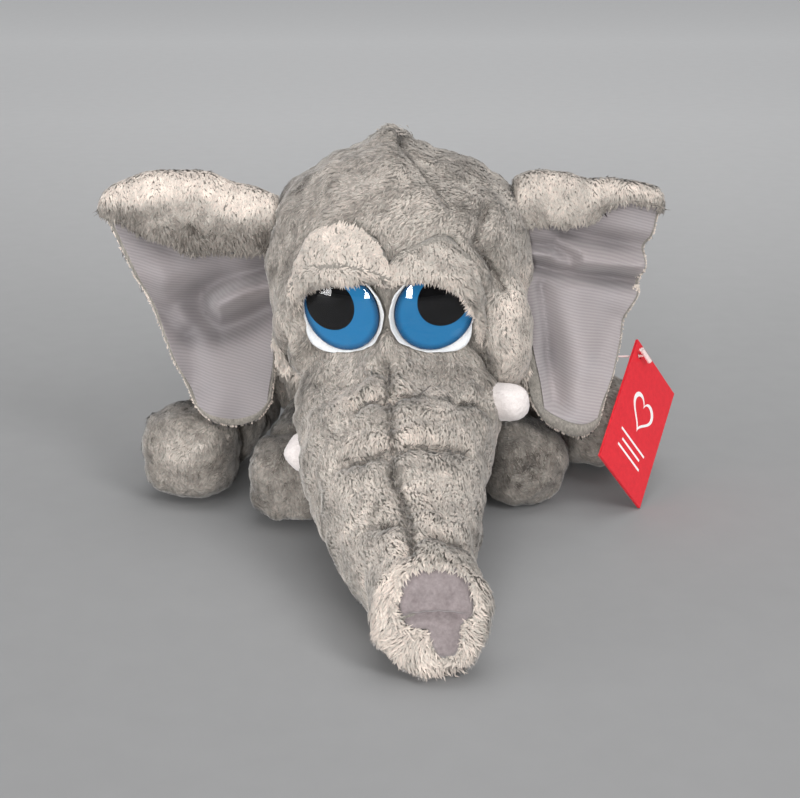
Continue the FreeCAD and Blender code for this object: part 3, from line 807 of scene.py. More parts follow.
# y, middle x, middle z, half width, half height, lean of the ring
TRUNK_RINGS = [(-20, -1, 72, 40, 30, 0.0), (-38, -0.6, 62, 42.4, 31, 0.0),
               (-50, -0.7, 55.5, 42.8, 30.5, 0.0),
               (-62, -1.7, 49.5, 41.7, 31, 0.0), (-75, -2.2, 44.5, 38.7, 31.5, 0.0),
               (-86, -2.4, 40, 36.3, 31, 0.0), (-96, -0.8, 36, 33.5, 29.6, 0.0),
               (-105, 1, 32.5, 31.4, 27.8, 0.0), (-118, 2.6, 28.5, 27.4, 25.2, 0.0),
               (-130, 3.8, 25.2, 24, 22.8, 0.0), (-142, 6.6, 23.4, 21.8, 20.9, 0.03),
               (-152, 9, 22.6, 21, 20.4, 0.08), (-160, 10.9, 22.4, 20.4, 20.2, 0.14),
               (-166, 12.2, 22.3, 19.4, 19.6, 0.2), (-170, 13.2, 22.3, 16.6, 17.2, 0.24),
               (-171, 13.4, 22.5, 13.6, 14.2, 0.25), (-170, 13.4, 22.8, 9, 9.5, 0.25)]


def trunk_part():
    """Closed tube of the trunk, with rings a little squarer than an ellipse."""
    rings = []
    cosine, sine = np.cos(bearings(60)), np.sin(bearings(60))
    power = 2.0 / 2.25
    for y, x, z, wide, high, lean in curve_through(TRUNK_RINGS, 62):
        across = wide * np.sign(cosine) * np.abs(cosine) ** power
        upward = high * np.sign(sine) * np.abs(sine) ** power
        rings.append(np.stack([x + across, y + lean * upward, z + upward], axis=1))
    return loft(rings, (-1.0, -18.0, 72.0), (13.4, -169.6, 23.0))


# centre and radii of the bulges beside and between the eyes


HOODS = [((-42.0, -20.0, 94.0), (12.5, 24.0, 27.0)), ((43.5, -22.0, 85.0), (14.5, 24.0, 30.0)),
         ((-5.0, -50.5, 85.0), (8.5, 10.0, 11.0))]

# bearing round the eye in degrees, how far the felt reaches
FELT_REACH = {"left": [(-180, 17.6), (-155, 18.0), (-132, 21.6), (-114, 20.4), (-98, 18.2),
                       (-75, 17.9),
                       (-50, 18.2), (-35, 19.2), (20, 20.4), (60, 19.2), (120, 18.0), (180, 17.6)],
              "right": [(-180, 20.4), (-142, 19.2), (-128, 18.2), (-105, 17.9), (-82, 18.2),
                        (-64, 20.2), (-48, 21.0),
                        (-22, 17.8), (20, 17.4), (60, 18.6), (120, 19.4), (180, 20.0)]}


def felt_edge(side, bearing):
    """Reach of the felt at bearings in degrees."""
    return table_at(FELT_REACH[side], bearing)


# bearing round the eye in degrees, depth of the skin under the disc: shallow where plush hides felt
SOCKET_DEPTH = {"left": [(-180, 3.2), (-125, 3.2), (-102, 1.0), (-52, 1.0), (-38, 3.2), (180, 3.2)],
                "right": [(-180, 3.2), (-142, 3.2), (-128, 1.0), (-78, 1.0), (-55, 3.2),
                          (180, 3.2)]}


def press_sockets(points):
    """Moves skin that would cover an eye back under its felt."""
    for side, eye in EYES.items():
        across, upward, out = eye.local(points)
        reach = np.hypot(across, upward)
        depth = table_at(SOCKET_DEPTH[side], np.degrees(np.arctan2(upward, across)))
        most = -depth + 1.15 * np.maximum(reach - 18.4, 0.0)
        most = np.where(reach < 17.6, -3.2, most)
        near_disc = (reach < 30.0) & (out > -14.0)
        back = np.where(near_disc, np.maximum(out - most, 0.0), 0.0)
        points = points - back[:, None] * eye.out
    return points


# line, depth, width, pucker
HEAD_SEAMS = [
    ([(-0.9, 8.7, 167.2), (1.3, -6.7, 164.9), (9.7, -23.3, 158.1), (15.9, -31.8, 150.8),
      (20.4, -36.7, 144.7)],
     2.6, 2.0, 0.3),
    ([(38.2, -25.0, 143.1), (34.5, -33.1, 136.3), (31.0, -39.3, 128.3), (34.4, -39.0, 124.8),
      (39.8, -36.6, 116.4), (43.8, -36.3, 108.4)], 2.4, 2.2, 0.2),
    ([(-5.8, -60.2, 82.4), (-4.4, -80.2, 73.7), (-3.5, -98.2, 65.2), (-3.1, -112.5, 54.6),
      (1.9, -130.1, 48.2),
      (4.7, -154.7, 42.0)], 4.0, 2.4, 0.7),
    ([(-17.4, -79.8, 70.6), (-10.1, -79.8, 73.1), (-1.6, -77.5, 74.1), (7.3, -74.8, 73.1),
      (16.0, -71.8, 71.1),
      (23.8, -72.0, 69.9), (31.6, -65.6, 65.3)], 4.2, 2.7, 0.9),
    ([(-23.7, -100.8, 54.8), (-18.1, -103.6, 56.8), (-12.9, -104.6, 58.5), (-3.1, -103.5, 61.0),
      (10.6, -100.2, 61.8), (19.0, -97.6, 59.9), (26.4, -92.1, 56.4)], 4.4, 2.7, 0.9),
    ([(-13.6, -130.6, 41.4), (-8.3, -134.0, 43.4), (-3.4, -137.0, 44.4)], 2.6, 3.0, 0.3),
    ([(9.9, -145.6, 43.6), (16.5, -146.1, 42.6), (23.5, -140.2, 38.1)], 3.0, 3.0, 0.3),
    ([(17.5, -174.8, 9.5), (17.5, -171.0, 4.5)], 1.5, 2.2, 0.2),
    ([(-49.0, -37.5, 86.5), (-50.6, -30.9, 78.1), (-49.5, -28.0, 71.0)], 4.0, 2.4, 0.0),
    ([(32.5, -40.1, 88.3), (35.1, -41.1, 82.3), (37.8, -41.9, 75.3), (39.6, -43.2, 67.6)], 4.0, 2.2,
     0.0)]

# bearing from the top in the front view, radius of the head there
HEAD_OUTLINE = [(-180, 60.5), (-75, 60.5), (-58, 60.4), (-49, 58.4), (-40, 56.6), (-30, 56.3),
                (-22, 56.0), (-14, 57.2), (-7, 59.4), (-2, 61.2), (2, 59.0), (8, 55.6), (18, 53.9),
                (28, 54.8), (37, 56.4), (46, 57.6), (56, 59.6), (70, 60.5), (180, 60.5)]
HEAD_RADIUS = 60.5


def peak_head(points):
    """Draws the ball of the head in to the peaked outline it has from the front."""
    x = points[:, 0] - HEAD_CENTRE[0]
    z = points[:, 2] - HEAD_CENTRE[2]
    radius = np.hypot(x, z)
    target = table_at(HEAD_OUTLINE, np.degrees(np.arctan2(x, z)))
    share = smooth(36.0, 54.0, radius) * smooth(0.0, 12.0, z)
    factor = 1.0 + (target / HEAD_RADIUS - 1.0) * share
    moved = points.copy()
    moved[:, 0] = HEAD_CENTRE[0] + x * factor
    moved[:, 2] = HEAD_CENTRE[2] + z * factor
    return moved


def head_skin():
    """Head and trunk as one skin, with sockets for the eyes and sewn grooves."""
    parts = [globe(HEAD_CENTRE, (60.3, 59.6, 59.2), 2.12), trunk_part()]
    parts += [globe(centre, radii) for centre, radii in HOODS]
    skin = fuse("head_and_trunk_plush", parts, 1.7, 10)
    points = layout_points(skin)
    normals = point_normals(skin)
    swell = uneven(points, (0.55, 26.0, 11), (0.28, 10.0, 12))
    points = press_sockets(peak_head(points + normals * swell[:, None]))
    set_layout_points(skin, crease(points, normals, HEAD_SEAMS))
    return skin


def crease(points, normals, seams):
    """Pulls the skin in along each seam, with small puckers beside it."""
    for line, depth, width, pucker in seams:
        distance, along = line_distance(points, line)
        pull = depth * near(distance, width)
        pull = pull - 0.3 * depth * near(distance - 3.2 * width, 1.6 * width)
        gathers = pucker * np.sin(along * TAU / 5.5) * near(distance, 2.2 * width)
        points = points - normals * (pull - gathers)[:, None]
    return points


def nap_head(points):
    """Lie of the pile: down the face, sideways on the crown, forward along the trunk."""
    crown = smooth(112.0, 150.0, points[:, 2])[:, None]
    trunk = smooth(-52.0, -70.0, points[:, 1])[:, None]
    nap = np.array([0.05, -0.25, -1.0]) * (1.0 - crown) + np.array([-0.9, -0.2, -0.45]) * crown
    return nap * (1.0 - trunk) + np.array([0.12, -1.0, -0.35]) * trunk


def tone_of(points, base=0.52, seed=70):
    """Tone of the pile about its base, with broad and small patches."""
    return base + 0.06 * waves(points, 24.0, seed) + 0.05 * waves(points, 7.0, seed + 1)


def near_eyes(points):
    """True for points over or under an eye or its felt."""
    found = np.zeros(len(points), bool)
    for side, eye in EYES.items():
        across, upward, out = eye.local(points)
        edge = felt_edge(side, np.degrees(np.arctan2(upward, across)))
        covered = np.hypot(across, upward) < np.maximum(edge, DOME_RADIUS) + 0.2
        found |= covered & (out > -12.0)
    return found

# outline of the nostril pad about its middle: across, up
PAD_LINE = [(-13.7, 1.0), (-13.0, 6.5), (-10.4, 11.4), (-5.6, 14.8), (0.5, 15.7), (6.8, 14.4),
            (11.4, 10.8),
            (13.5, 5.6), (13.6, 0.6), (12.6, -2.6), (9.7, -4.6), (9.3, -10.0), (8.2, -14.4),
            (4.4, -16.0),
            (0.4, -14.8), (-2.0, -10.6), (-3.2, -6.4), (-7.4, -6.6), (-11.4, -4.2)]
PAD_ROOT = np.array([2.0, 0.5])
PAD_CENTRE = np.array([12.6, -171.0, 27.0])


def pad_outline(count):
    """Even points round the pad's outline."""
    line = np.array(PAD_LINE + PAD_LINE[:1], float)
    return even_curve(line, count + 1)[:-1]


def pad_share(points):
    """Distance from the nostril pad's middle as a share of its outline."""
    outline = pad_outline(180) - PAD_ROOT
    bearing = np.arctan2(outline[:, 1], outline[:, 0])
    order = np.argsort(bearing)
    away = points[:, [0, 2]] - PAD_CENTRE[[0, 2]] - PAD_ROOT
    limit = np.interp(np.arctan2(away[:, 1], away[:, 0]), bearing[order],
                      np.linalg.norm(outline, axis=1)[order], period=TAU)
    return np.linalg.norm(away, axis=1) / limit


def seam_nearness(points):
    """Distance to the nearest sewn line of the head and trunk."""
    return np.min([line_distance(points, seam[0])[0] for seam in HEAD_SEAMS], axis=0)


NECK_REACH = 49.0


def head_pile(skin):
    """Pile of head and trunk: sleek on the sides and temples, raised on the trunk's top."""
    place, normal = scatter(skin, 0.76, 21)
    keep = ~near_eyes(place)
    keep &= ~((place[:, 1] < -160.0) & (pad_share(place) < 0.93))
    in_ball = np.linalg.norm(place - HEAD_CENTRE, axis=1) < NECK_REACH
    keep &= ~(in_ball & (place[:, 1] > -45.0))
    seam = seam_nearness(place)
    keep &= seam > 1.0
    place, normal, seam = place[keep], normal[keep], seam[keep]
    x, y, z = place.T
    trunk = smooth(-50.0, -72.0, y)
    rim = smooth(-155.0, -165.0, y)
    middle = np.interp(-y, [60.0, 130.0, 170.0], [-4.0, 2.5, 12.0])
    half = np.interp(-y, [60.0, 100.0, 130.0, 170.0], [40.0, 32.0, 24.0, 18.0])
    flank = smooth(0.42, 0.8, np.abs(x - middle) / half) * trunk * (1.0 - rim)
    temple = smooth(36.0, 48.0, np.abs(x)) * (1.0 - trunk)
    sleek = np.maximum(smooth(0.0, 1.1, waves(place, 30.0, 31)), np.maximum(flank, temple))
    raised = trunk * (1.0 - sleek)
    left_temple = smooth(-34.0, -46.0, x) * smooth(100.0, 116.0, z) * (1.0 - trunk)
    right_hood = smooth(36.0, 44.0, x) * smooth(118.0, 104.0, z) * smooth(2.0, -8.0, y)
    tone = tone_of(place) - 0.05 * sleek * trunk + 0.06 * temple + 0.07 * raised + 0.12 * rim
    # painted shade: the pile much darker close to each seam's groove
    tone = tone - 0.6 * near(seam, 1.8) - 0.14 * (1.0 - trunk)
    tone = tone - 0.12 * left_temple + 0.2 * right_hood * (1.0 - trunk)
    beside = near(seam, 3.4)
    length = (3.6 + 1.0 * raised + 0.2 * rim) * (1.0 - 0.55 * beside)
    lift = 0.19 + 0.12 * raised + 0.1 * rim - 0.11 * sleek
    lift = lift * (1.0 - 0.5 * beside) * (1.0 - 0.5 * right_hood)
    outward = unit(place - np.array([13.4, -171.0, 22.0]))
    over_rim = outward * 0.6 + [0.0, -0.6, -0.5]
    nap = nap_head(place) * (1.0 - rim)[:, None] + over_rim * rim[:, None]
    groups = [("crown", (y > -52.0) & (y <= 8.0), 40, on("head")),
              ("nape", y > 8.0, 50, on("head")),
              ("trunk", y <= -52.0, 60, hold_trunk)]
    for name, chosen, seed, hold in groups:
        grow("pile_" + name, place[chosen], normal[chosen], nap[chosen],
             length[chosen], 0.78, lift[chosen], tone[chosen], seed, hold)


def hold_trunk(piece):
    """Bakes a piece's place into its mesh, leaving it on no body."""
    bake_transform(piece)


# edge line of each hood's lower end, and the way its locks hang
HOOD_EDGES = {"left": ([(-53.0, -24.0, 90.0), (-54.0, -25.0, 82.0), (-52.5, -27.0, 75.0),
                        (-49.0, -31.0, 70.5)],
                       (-0.4, -0.7, -0.1)),
              "right": ([(38.6, -46.0, 68.6), (41.6, -42.7, 64.5), (45.9, -38.6, 62.0),
                         (50.5, -35.3, 62.3),
                         (54.0, -31.0, 65.0), (56.5, -27.0, 70.0)], (0.4, -0.7, -0.1))}


# line, spread, facing, way they lie, length, count, body
TUFTS = {"crown_tuft": ([(-8.0, 4.0, 166.5), (-1.0, 5.0, 167.3), (4.0, 2.0, 166.6)], 1.4,
                        (0.0, -0.1, 1.0),
                        (-0.5, -0.3, 0.35), 4.6, 110, "head"),
         "tip_beard": ([(3.0, -168.5, 8.5), (8.0, -170.5, 5.8), (13.5, -171.0, 5.0),
                        (19.0, -170.5, 5.8),
                        (24.0, -168.0, 9.0)], 1.2, (0.0, -0.8, -0.4), (0.0, -0.35, -1.0), 4.6, 240,
                        "trunk")}

SEAM_SHADOW_WIDTH = [0.4, 0.32, 0.7, 0.36, 0.45, 0.25, 0.25]


def paint_seam_shadows(skin):
    """Dark flat locks along the bottom of each seam's groove: painted shadow of the groove."""
    points = layout_points(skin)
    normals = point_normals(skin)
    rng = np.random.default_rng(85)
    for number, width in enumerate(SEAM_SHADOW_WIDTH):
        line = np.array(HEAD_SEAMS[number][0])
        spots = even_curve(line, int(run_along(line)[-1] * 3.0))
        along = np.gradient(spots, axis=0)
        spots = spots + rng.normal(size=spots.shape) * 0.12
        nearest = np.array([np.argmin(((points - spot) ** 2).sum(axis=1)) for spot in spots])
        facing = normals[nearest]
        drop = ((points[nearest] - spots) * facing).sum(axis=1)[:, None]
        hold = hold_trunk if np.mean(line[:, 1]) < -52.0 else on("head")
        # painted shadow: very dark locks lying flat in the groove
        grow("seam_line_" + str(number + 1), spots + facing * (drop + 1.2), facing, along,
             2.6, width, 0.08, 0.13 + 0.08 * waves(spots, 9.0, 86), 86 + number, hold, 0.05)


def make_head():
    """Skin, pile, painted shadow in the seams' grooves, and tufts of head and trunk."""
    skin = head_skin()
    paint(skin, BACKING)
    head_pile(skin)
    paint_seam_shadows(skin)
    hold_trunk(skin)
    for side, (line, facing) in HOOD_EDGES.items():
        spots, outward = fringe(line, facing, 0.9, 330, 66)
        grow(side + "_hood_fringe", spots, outward, (0.0, -0.2, -1.0), 4.6, 0.9, 0.3,
             tone_of(spots, 0.7, 82), 67, on("head"))
    for number, (name, row) in enumerate(TUFTS.items()):
        line, spread, facing, lie, length, count, body = row
        spots, outward = fringe(line, facing, spread, count, 68 + number)
        grow(name, spots, outward, lie, length, 0.85, 0.3,
             tone_of(spots, 0.66, 83), 70 + number, on(body))
    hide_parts("head_skin", "trunk_skin", "head_stuffing", "trunk_stuffing")


make_head()


# ---------------------------------------------------------------- eyelids, felt, eyes

# across the eye, height of the lid's lower edge, height of its upper end
LID_LINES = {"left": [(-25, -13, 4), (-21, 0.5, 19), (-17, 8, 29), (-10, 13, 34), (-3, 15.6, 35.5),
                      (5, 16.8, 35),
                      (12, 17.4, 32), (17, 17.2, 27.5), (21, 16.2, 21), (24, 15.0, 18)],
             "right": [(-19.5, 15.5, 20), (-15.3, 16.6, 24), (-4.7, 17, 29), (2, 15, 31),
                       (7.2, 12, 30),
                       (12, 8, 25), (15.6, 2, 21), (18.6, -6, 15), (21.5, -15, 4)]}
LID_BULGE = {"left": 7.2, "right": 2.2}
LID_EDGE = {"left": 2.4, "right": 2.2}
# how the upper part of each lid differs: paler plush on the left lid, painted shade on the right
# lid
LID_LIGHT = {"left": 0.1, "right": -0.08}
LID_LIFT = {"left": 0.1, "right": 0.18}


def head_rise(reach):
    """Height of the head's ball over the eye's disc plane."""
    return np.sqrt(np.maximum(HEAD_RADIUS ** 2 - reach ** 2, 0.0)) - 62.0


def lid_under(reach):
    """Height at which the lid's lining passes over dome and head."""
    over = dome_rise(np.minimum(reach, DOME_RADIUS - 0.01)) + 1.0
    beyond = 2.6 - 0.55 * (reach - DOME_RADIUS)
    bridge = np.where(reach < DOME_RADIUS, over, beyond)
    return np.maximum(bridge, head_rise(reach) - 1.5)


def make_lid(side):
    """Plush lid: a padded band over the eye, with its pile and the fringe of its edge."""
    eye = EYES[side]
    rows = curve_through(LID_LINES[side], 56)
    shares = np.linspace(0.0, 1.0, 22)
    across = rows[:, 0][:, None] + 0.0 * shares[None, :]
    upward = rows[:, 1][:, None] * (1.0 - shares) + rows[:, 2][:, None] * shares
    under = lid_under(np.hypot(across, upward))
    ends = np.sin(np.linspace(0.0, math.pi, len(rows)))[:, None] ** 0.45
    swell = np.sin(np.clip(shares * 0.93 + 0.12, 0.0, 1.0) * math.pi) ** 0.8
    thick = (LID_EDGE[side] * (1.0 - shares) + LID_BULGE[side] * swell[None, :]) * ends
    outer = np.where(shares[None, :] > 0.985, under - 1.5, under + thick + 0.2)
    front = eye.world(across, upward, outer)
    back = eye.world(across, upward, under - 0.1 - 1.2 * shares[None, :])
    count, deep = front.shape[:2]
    total = count * deep
    verts = np.concatenate([front.reshape(-1, 3), back.reshape(-1, 3)])
    faces = []
    for i in range(count - 1):
        for j in range(deep - 1):
            a = i * deep + j
            b = a + deep
            faces.append([a, b, b + 1, a + 1])
            faces.append([total + a, total + a + 1, total + b + 1, total + b])
    edge = [i * deep for i in range(count)] + [total - deep + j for j in range(1, deep)]
    edge += [i * deep + deep - 1 for i in range(count - 2, -1, -1)] + list(range(deep - 2, 0, -1))
    for here, there in zip(edge, edge[1:] + edge[:1]):
        faces.append([here, total + here, total + there, there])
    lid = make_object(side + "_lid_plush", verts, faces)
    fix_normals(lid)
    roughen(lid, (0.25, 8.0, 51))
    paint(lid, BACKING)
    place, normal = scatter(lid, 0.74, 60)
    x, y, out = eye.local(place)
    beneath = lid_under(np.hypot(x, y))
    keep = (out > beneath + 0.15) & (normal @ eye.out > -0.3)
    place, normal, x, y = place[keep], normal[keep], x[keep], y[keep]
    low = np.interp(x, rows[:, 0], rows[:, 1])
    high = np.interp(x, rows[:, 0], rows[:, 2])
    share = (y - low) / np.maximum(high - low, 1.0)
    rising = smooth(0.2, 0.5, share)[:, None] if side == "left" else 0.0
    falls = np.stack([0.35 * x / 20.0, -np.ones(len(x))], axis=1)
    climbs = np.stack([0.5 * x / 20.0, np.ones(len(x))], axis=1)
    lie = falls * (1.0 - rising) + climbs * rising
    nap = lie[:, :1] * eye.across + lie[:, 1:] * eye.upward
    # upper part of the lid: paler plush on the left, painted shade on the right
    tone = tone_of(place, 0.55, 80) + LID_LIGHT[side] * smooth(0.05, 0.4, share)
    length = 3.0 + 1.0 * smooth(0.3, 0.0, share)
    lift = LID_LIFT[side] + 0.3 * smooth(0.25, 0.0, share)
    grow(side + "_lid_pile", place, normal, nap, length, 0.9, lift, tone, 61, on("head"), 0.05)
    line = eye.world(rows[:, 0], rows[:, 1] + 0.3,
                     lid_under(np.hypot(rows[:, 0], rows[:, 1])) + 1.3)
    spots, facing = fringe(line, eye.out, 0.35, 420, 64)
    grow(side + "_lid_fringe", spots, facing, -eye.upward, 4.0, 0.8, 0.35,
         tone_of(spots, 0.74, 81), 65, on("head"))
    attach(lid, "head")
    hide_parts(side + "_eyelid")


def make_felt(side):
    """Felt ring, cut a little larger than the eye and cupped round its dome."""
    eye = EYES[side]
    around = 96
    angles = np.radians(np.linspace(-180.0, 180.0, around + 1)[:-1])
    outer = felt_edge(side, np.degrees(angles))
    shown = smooth(DOME_RADIUS, 18.6, outer)
    outer = outer + shown * (0.22 * np.sin(angles * 7.0 + 1.0) + 0.12 * np.sin(angles * 17.0))
    inner_side = {"left": 0.0, "right": math.pi}[side]
    cup = (0.9 + 1.5 * np.clip(np.cos(angles - inner_side), 0.0, 1.0)) * shown - 0.9 * (1.0 - shown)
    rings = [eye.ring(reach, rise, angles) for reach, rise in ((6.0, -2.4), (12.0, -2.4),
                                                               (16.6, -2.3))]
    for share, low in ((0.3, -2.0), (0.7, -1.2), (1.0, -0.7), (1.0, 0.5), (0.72, 0.15),
                       (0.35, -0.8)):
        rings.append(eye.ring(17.0 + (outer - 17.0) * share, low + cup * share, angles))
    rings += [eye.ring(reach, rise, angles) for reach, rise in ((16.9, -1.3), (6.0, -1.5))]
    verts, faces = loft(rings)
    last = (len(rings) - 1) * around
    faces += [[last + k, last + (k + 1) % around, (k + 1) % around, k] for k in range(around)]
    felt = make_object(side + "_eye_felt_ring", verts, faces)
    fix_normals(felt)
    paint(felt, FELT)
    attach(felt, "head")
    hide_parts(side + "_eye_felt")


def make_lens(side):
    """Clear shallow lens over the eye's disc."""
    eye = EYES[side]
    angles = bearings(72)
    rings = [eye.ring(reach, 0.45 + dome_rise(min(reach, DOME_RADIUS - 0.01)), angles)
             for reach in np.linspace(0.06, 1.0, 22) * DOME_RADIUS]
    rings += [eye.ring(reach, 0.35, angles) for reach in (DOME_RADIUS, 9.0, 1.0)]
    verts, faces = loft(rings, eye.world(0.0, 0.0, 0.45 + DOME_HEIGHT), eye.world(0.0, 0.0, 0.35))
    lens = make_object(side + "_eye_lens", verts, faces)
    fix_normals(lens)
    paint(lens, SHELL)
    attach(lens, "head")
    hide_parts(side + "_eye_dome")


for side in SIDES:
    make_lid(side)
    make_felt(side)
    make_lens(side)
    paint_node(side + "_eye_iris", iris_material(side + "_iris_paint", EYES[side].centre))
    paint_node(side + "_eye_pupil", BLACK)
    paint_node(side + "_eye_back_plate", BLACK)
    paint_node(side + "_eye_washer", WHITE)


# ---------------------------------------------------------------- nostril pad and tusks

def make_pad():
    """Tricot pad sewn to the trunk's end, with its mouth crease and the tongue below it."""
    rings = []
    outline = pad_outline(96)
    for share in np.linspace(0.06, 1.0, 20):
        x, z = (PAD_ROOT + (outline - PAD_ROOT) * share).T
        depth = -1.5 * (1.0 - share ** 3)
        mouth = 3.0 * near(z + 0.6 + 0.012 * (x - 1.0) ** 2, 1.3) * smooth(13.0, 9.5, np.abs(x))
        nostrils = 1.3 * np.exp(-(np.abs(np.abs(x) - 5.5) / 2.6) ** 2 - ((z - 4.5) / 2.4) ** 2)
        tongue = -1.5 * np.exp(-((x - 3.2) / 4.6) ** 4) * smooth(-1.0, -4.0, z)
        edge = 1.5 * smooth(0.88, 1.0, share)
        y = depth + mouth + nostrils + tongue + edge + 0.25 * np.sin(x * 1.3 + z * 0.7)
        ring = [PAD_CENTRE[0] + x, PAD_CENTRE[1] - 0.6 + y + 0.25 * z, PAD_CENTRE[2] + z]
        rings.append(np.stack(ring, axis=1))
    front = rings[0].mean(axis=0)
    back = [ring + [0.0, 1.2, 0.0] for ring in rings[::-1]]
    verts, faces = loft(rings + back, front, front + [0.0, 1.2, 0.0])
    pad = make_object("nostril_pad_cloth", verts, faces)
    fix_normals(pad)
    paint(pad, PAD)
    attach(pad, "trunk")
    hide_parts("nostril_pad")


make_pad()


def make_pad_fringe():
    """Pile that leans over the edge of the pad."""
    x, z = pad_outline(120).T
    line = np.stack([PAD_CENTRE[0] + x, PAD_CENTRE[1] + 0.25 * z, PAD_CENTRE[2] + z], axis=1)
    spots, facing = fringe(np.concatenate([line, line[:1]]), (0.0, -1.0, 0.15), 0.6, 520, 75)
    middle = PAD_CENTRE + [PAD_ROOT[0], 0.0, PAD_ROOT[1]]
    outward = unit((spots - middle) * [1.0, 0.0, 1.0])
    spots = spots + outward * 1.6
    rng = np.random.default_rng(76)
    lie = -outward * rng.uniform(-0.3, 1.0, len(spots))[:, None] + [0.0, -0.3, -0.35]
    grow("pad_fringe", spots, facing, lie, 3.2, 0.85, 0.4, tone_of(spots, 0.66, 84), 77,
         on("trunk"))


make_pad_fringe()

# root, tip, radius
TUSKS = {"left": ((-27.0, -57.0, 51.0), (-47.0, -66.5, 40.3), 8.9),
         "right": ((38.0, -47.0, 61.5), (52.6, -60.5, 64.6), 8.1)}
# share of the length, share of the radius
TUSK_PROFILE = [(0.0, 0.96), (0.2, 1.0), (0.4, 1.0), (0.58, 0.98), (0.72, 0.93), (0.83, 0.84),
                (0.91, 0.7), (0.965, 0.5), (0.99, 0.28)]


def make_tusk(side):
    """Short stuffed felt tusk with a blunt tip."""
    root, tip, radius = TUSKS[side]
    root, tip = np.array(root), np.array(tip)
    axis = unit(tip - root)
    first = unit(np.cross(axis, [0.0, 0.0, 1.0]))
    second = np.cross(axis, first)
    length = np.linalg.norm(tip - root)
    rings = [tube_ring(root + axis * length * share, radius * wide, first, second, bearings(48))
             for share, wide in TUSK_PROFILE]
    verts, faces = loft(rings, root, root + axis * length)
    tusk = make_object(side + "_tusk_plush", verts, faces)
    fix_normals(tusk)
    refine(tusk)
    roughen(tusk, (0.25, 11.0, 91), (0.07, 2.2, 92))
    paint(tusk, TUSK)
    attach(tusk, "head")
    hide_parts(side + "_tusk_felt", side + "_tusk_stuffing")


for side in SIDES:
    make_tusk(side)


# ---------------------------------------------------------------- ears

EAR_HINGE = {"left": (-62.0, 0.0, 4.9), "right": (61.0, 0.0, 1.0)}
EAR_SWEEP = {"left": 0.0, "right": 8.0}
EAR_TILT = -13.0
EAR_LEVEL = np.array([0.0, 0.0, 125.0])
EAR_TOP = {"left": [(-7, 134.5), (2.8, 137), (11.1, 140.5), (20.4, 143.5), (31, 145), (43.4, 145),
                    (55.4, 143), (66.6, 138), (71, 132.7)],
           "right": [(-9, 146), (-7.2, 147.5), (1.9, 149.5), (10.9, 147.7), (20.9, 145.2),
                     (33.8, 144.4), (43.9, 143.7), (54.6, 140.3), (57.8, 135.5)]}
EAR_OUTER = {"left": [(30.6, 41.4), (37.1, 55.9), (44.9, 73.1), (52.1, 90.6), (63.6, 115.1),
                      (68.7, 124.8), (71, 132.7)],
             "right": [(25.3, 36.5), (28.2, 45), (34.6, 61), (38.5, 72.9), (40.5, 84.2),
                       (48.6, 96.6),
                       (50.6, 113.6), (53.4, 119.8), (57.8, 135.5)]}
EAR_BOTTOM = {"left": [(-4, 44), (1, 36.5), (7, 33.2), (13.6, 32.3), (23.1, 35), (30.6, 41.4)],
              "right": [(-5.7, 49), (-1.2, 40.5), (6.6, 34.5), (14.4, 31.5), (20.5, 32.6),
                        (25.3, 36.5)]}
EAR_INNER = {"left": [(-4, 44), (-6, 60), (-7, 80), (-7, 110), (-7, 134.5)],
             "right": [(-5.7, 49), (-8, 70), (-9, 100), (-9, 125), (-9, 146)]}
# drawn line, depth pushed back, width
EAR_FOLDS = {"left": [([(26.6, 92.8), (16, 98), (-6, 104)], 6.0, 5.0),
                      ([(20, 88), (7.3, 94), (-6, 97.5)], -3.5, 3.6),
                      ([(37, 89), (20, 75.5), (-6, 86)], 6.5, 5.5),
                      ([(53, 90), (44, 82), (37, 74)], 4.5, 4.5),
                      ([(33, 70), (31, 52)], 2.5, 4.5), ([(46, 104), (36, 82)], -2.5, 5.0)],
             "right": [([(14, 123), (50, 115)], 5.5, 4.2),
                       ([(-6, 118.5), (8, 117), (16, 111)], 5.0, 2.8),
                       ([(-6, 110), (19, 104), (48, 99.5)], 7.0, 3.8),
                       ([(-6, 114), (6, 112.5)], -2.5, 2.2), ([(10, 109.5), (46, 106)], -2.5, 3.0),
                       ([(2, 98), (5, 75), (7, 48)], 5.5, 4.2), ([(17, 96), (18, 60)], -2.0, 6.0),
                       ([(36, 82), (30, 68)], 2.5, 6.0)]}


def ear_place(side, out, depth, height):
    """From the ear's own drawing (out from the hinge, depth to the back, height) to the layout."""
    local = np.stack(np.broadcast_arrays(out * SIDES[side], depth, height), axis=-1)
    local = (local - EAR_LEVEL) @ turn_about(0, EAR_TILT).T + EAR_LEVEL
    local = local @ turn_about(2, SIDES[side] * EAR_SWEEP[side]).T
    return local + np.array(EAR_HINGE[side])


def ear_way(side, depth, height):
    """Direction in the layout of a step back and up in the ear's own drawing."""
    return ear_place(side, 0.0, depth, 100.0 + height) - ear_place(side, 0.0, 0.0, 100.0)


def ear_grid(side, across, upward):
    """Even grid over the ear's outline: array upward x across of (out, height)."""
    u = np.linspace(0.0, 1.0, across)[None, :, None]
    v = np.linspace(0.0, 1.0, upward)[:, None, None]
    bottom = even_curve(EAR_BOTTOM[side], across)[None]
    top = even_curve(EAR_TOP[side], across)[None]
    inner = even_curve(EAR_INNER[side], upward)[:, None]
    outer = even_curve(EAR_OUTER[side], upward)[:, None]
    corners = ((1 - u) * (1 - v) * bottom[:, :1] + u * (1 - v) * bottom[:, -1:]
               + (1 - u) * v * top[:, :1] + u * v * top[:, -1:])
    return (1 - v) * bottom + v * top + (1 - u) * inner + u * outer - corners


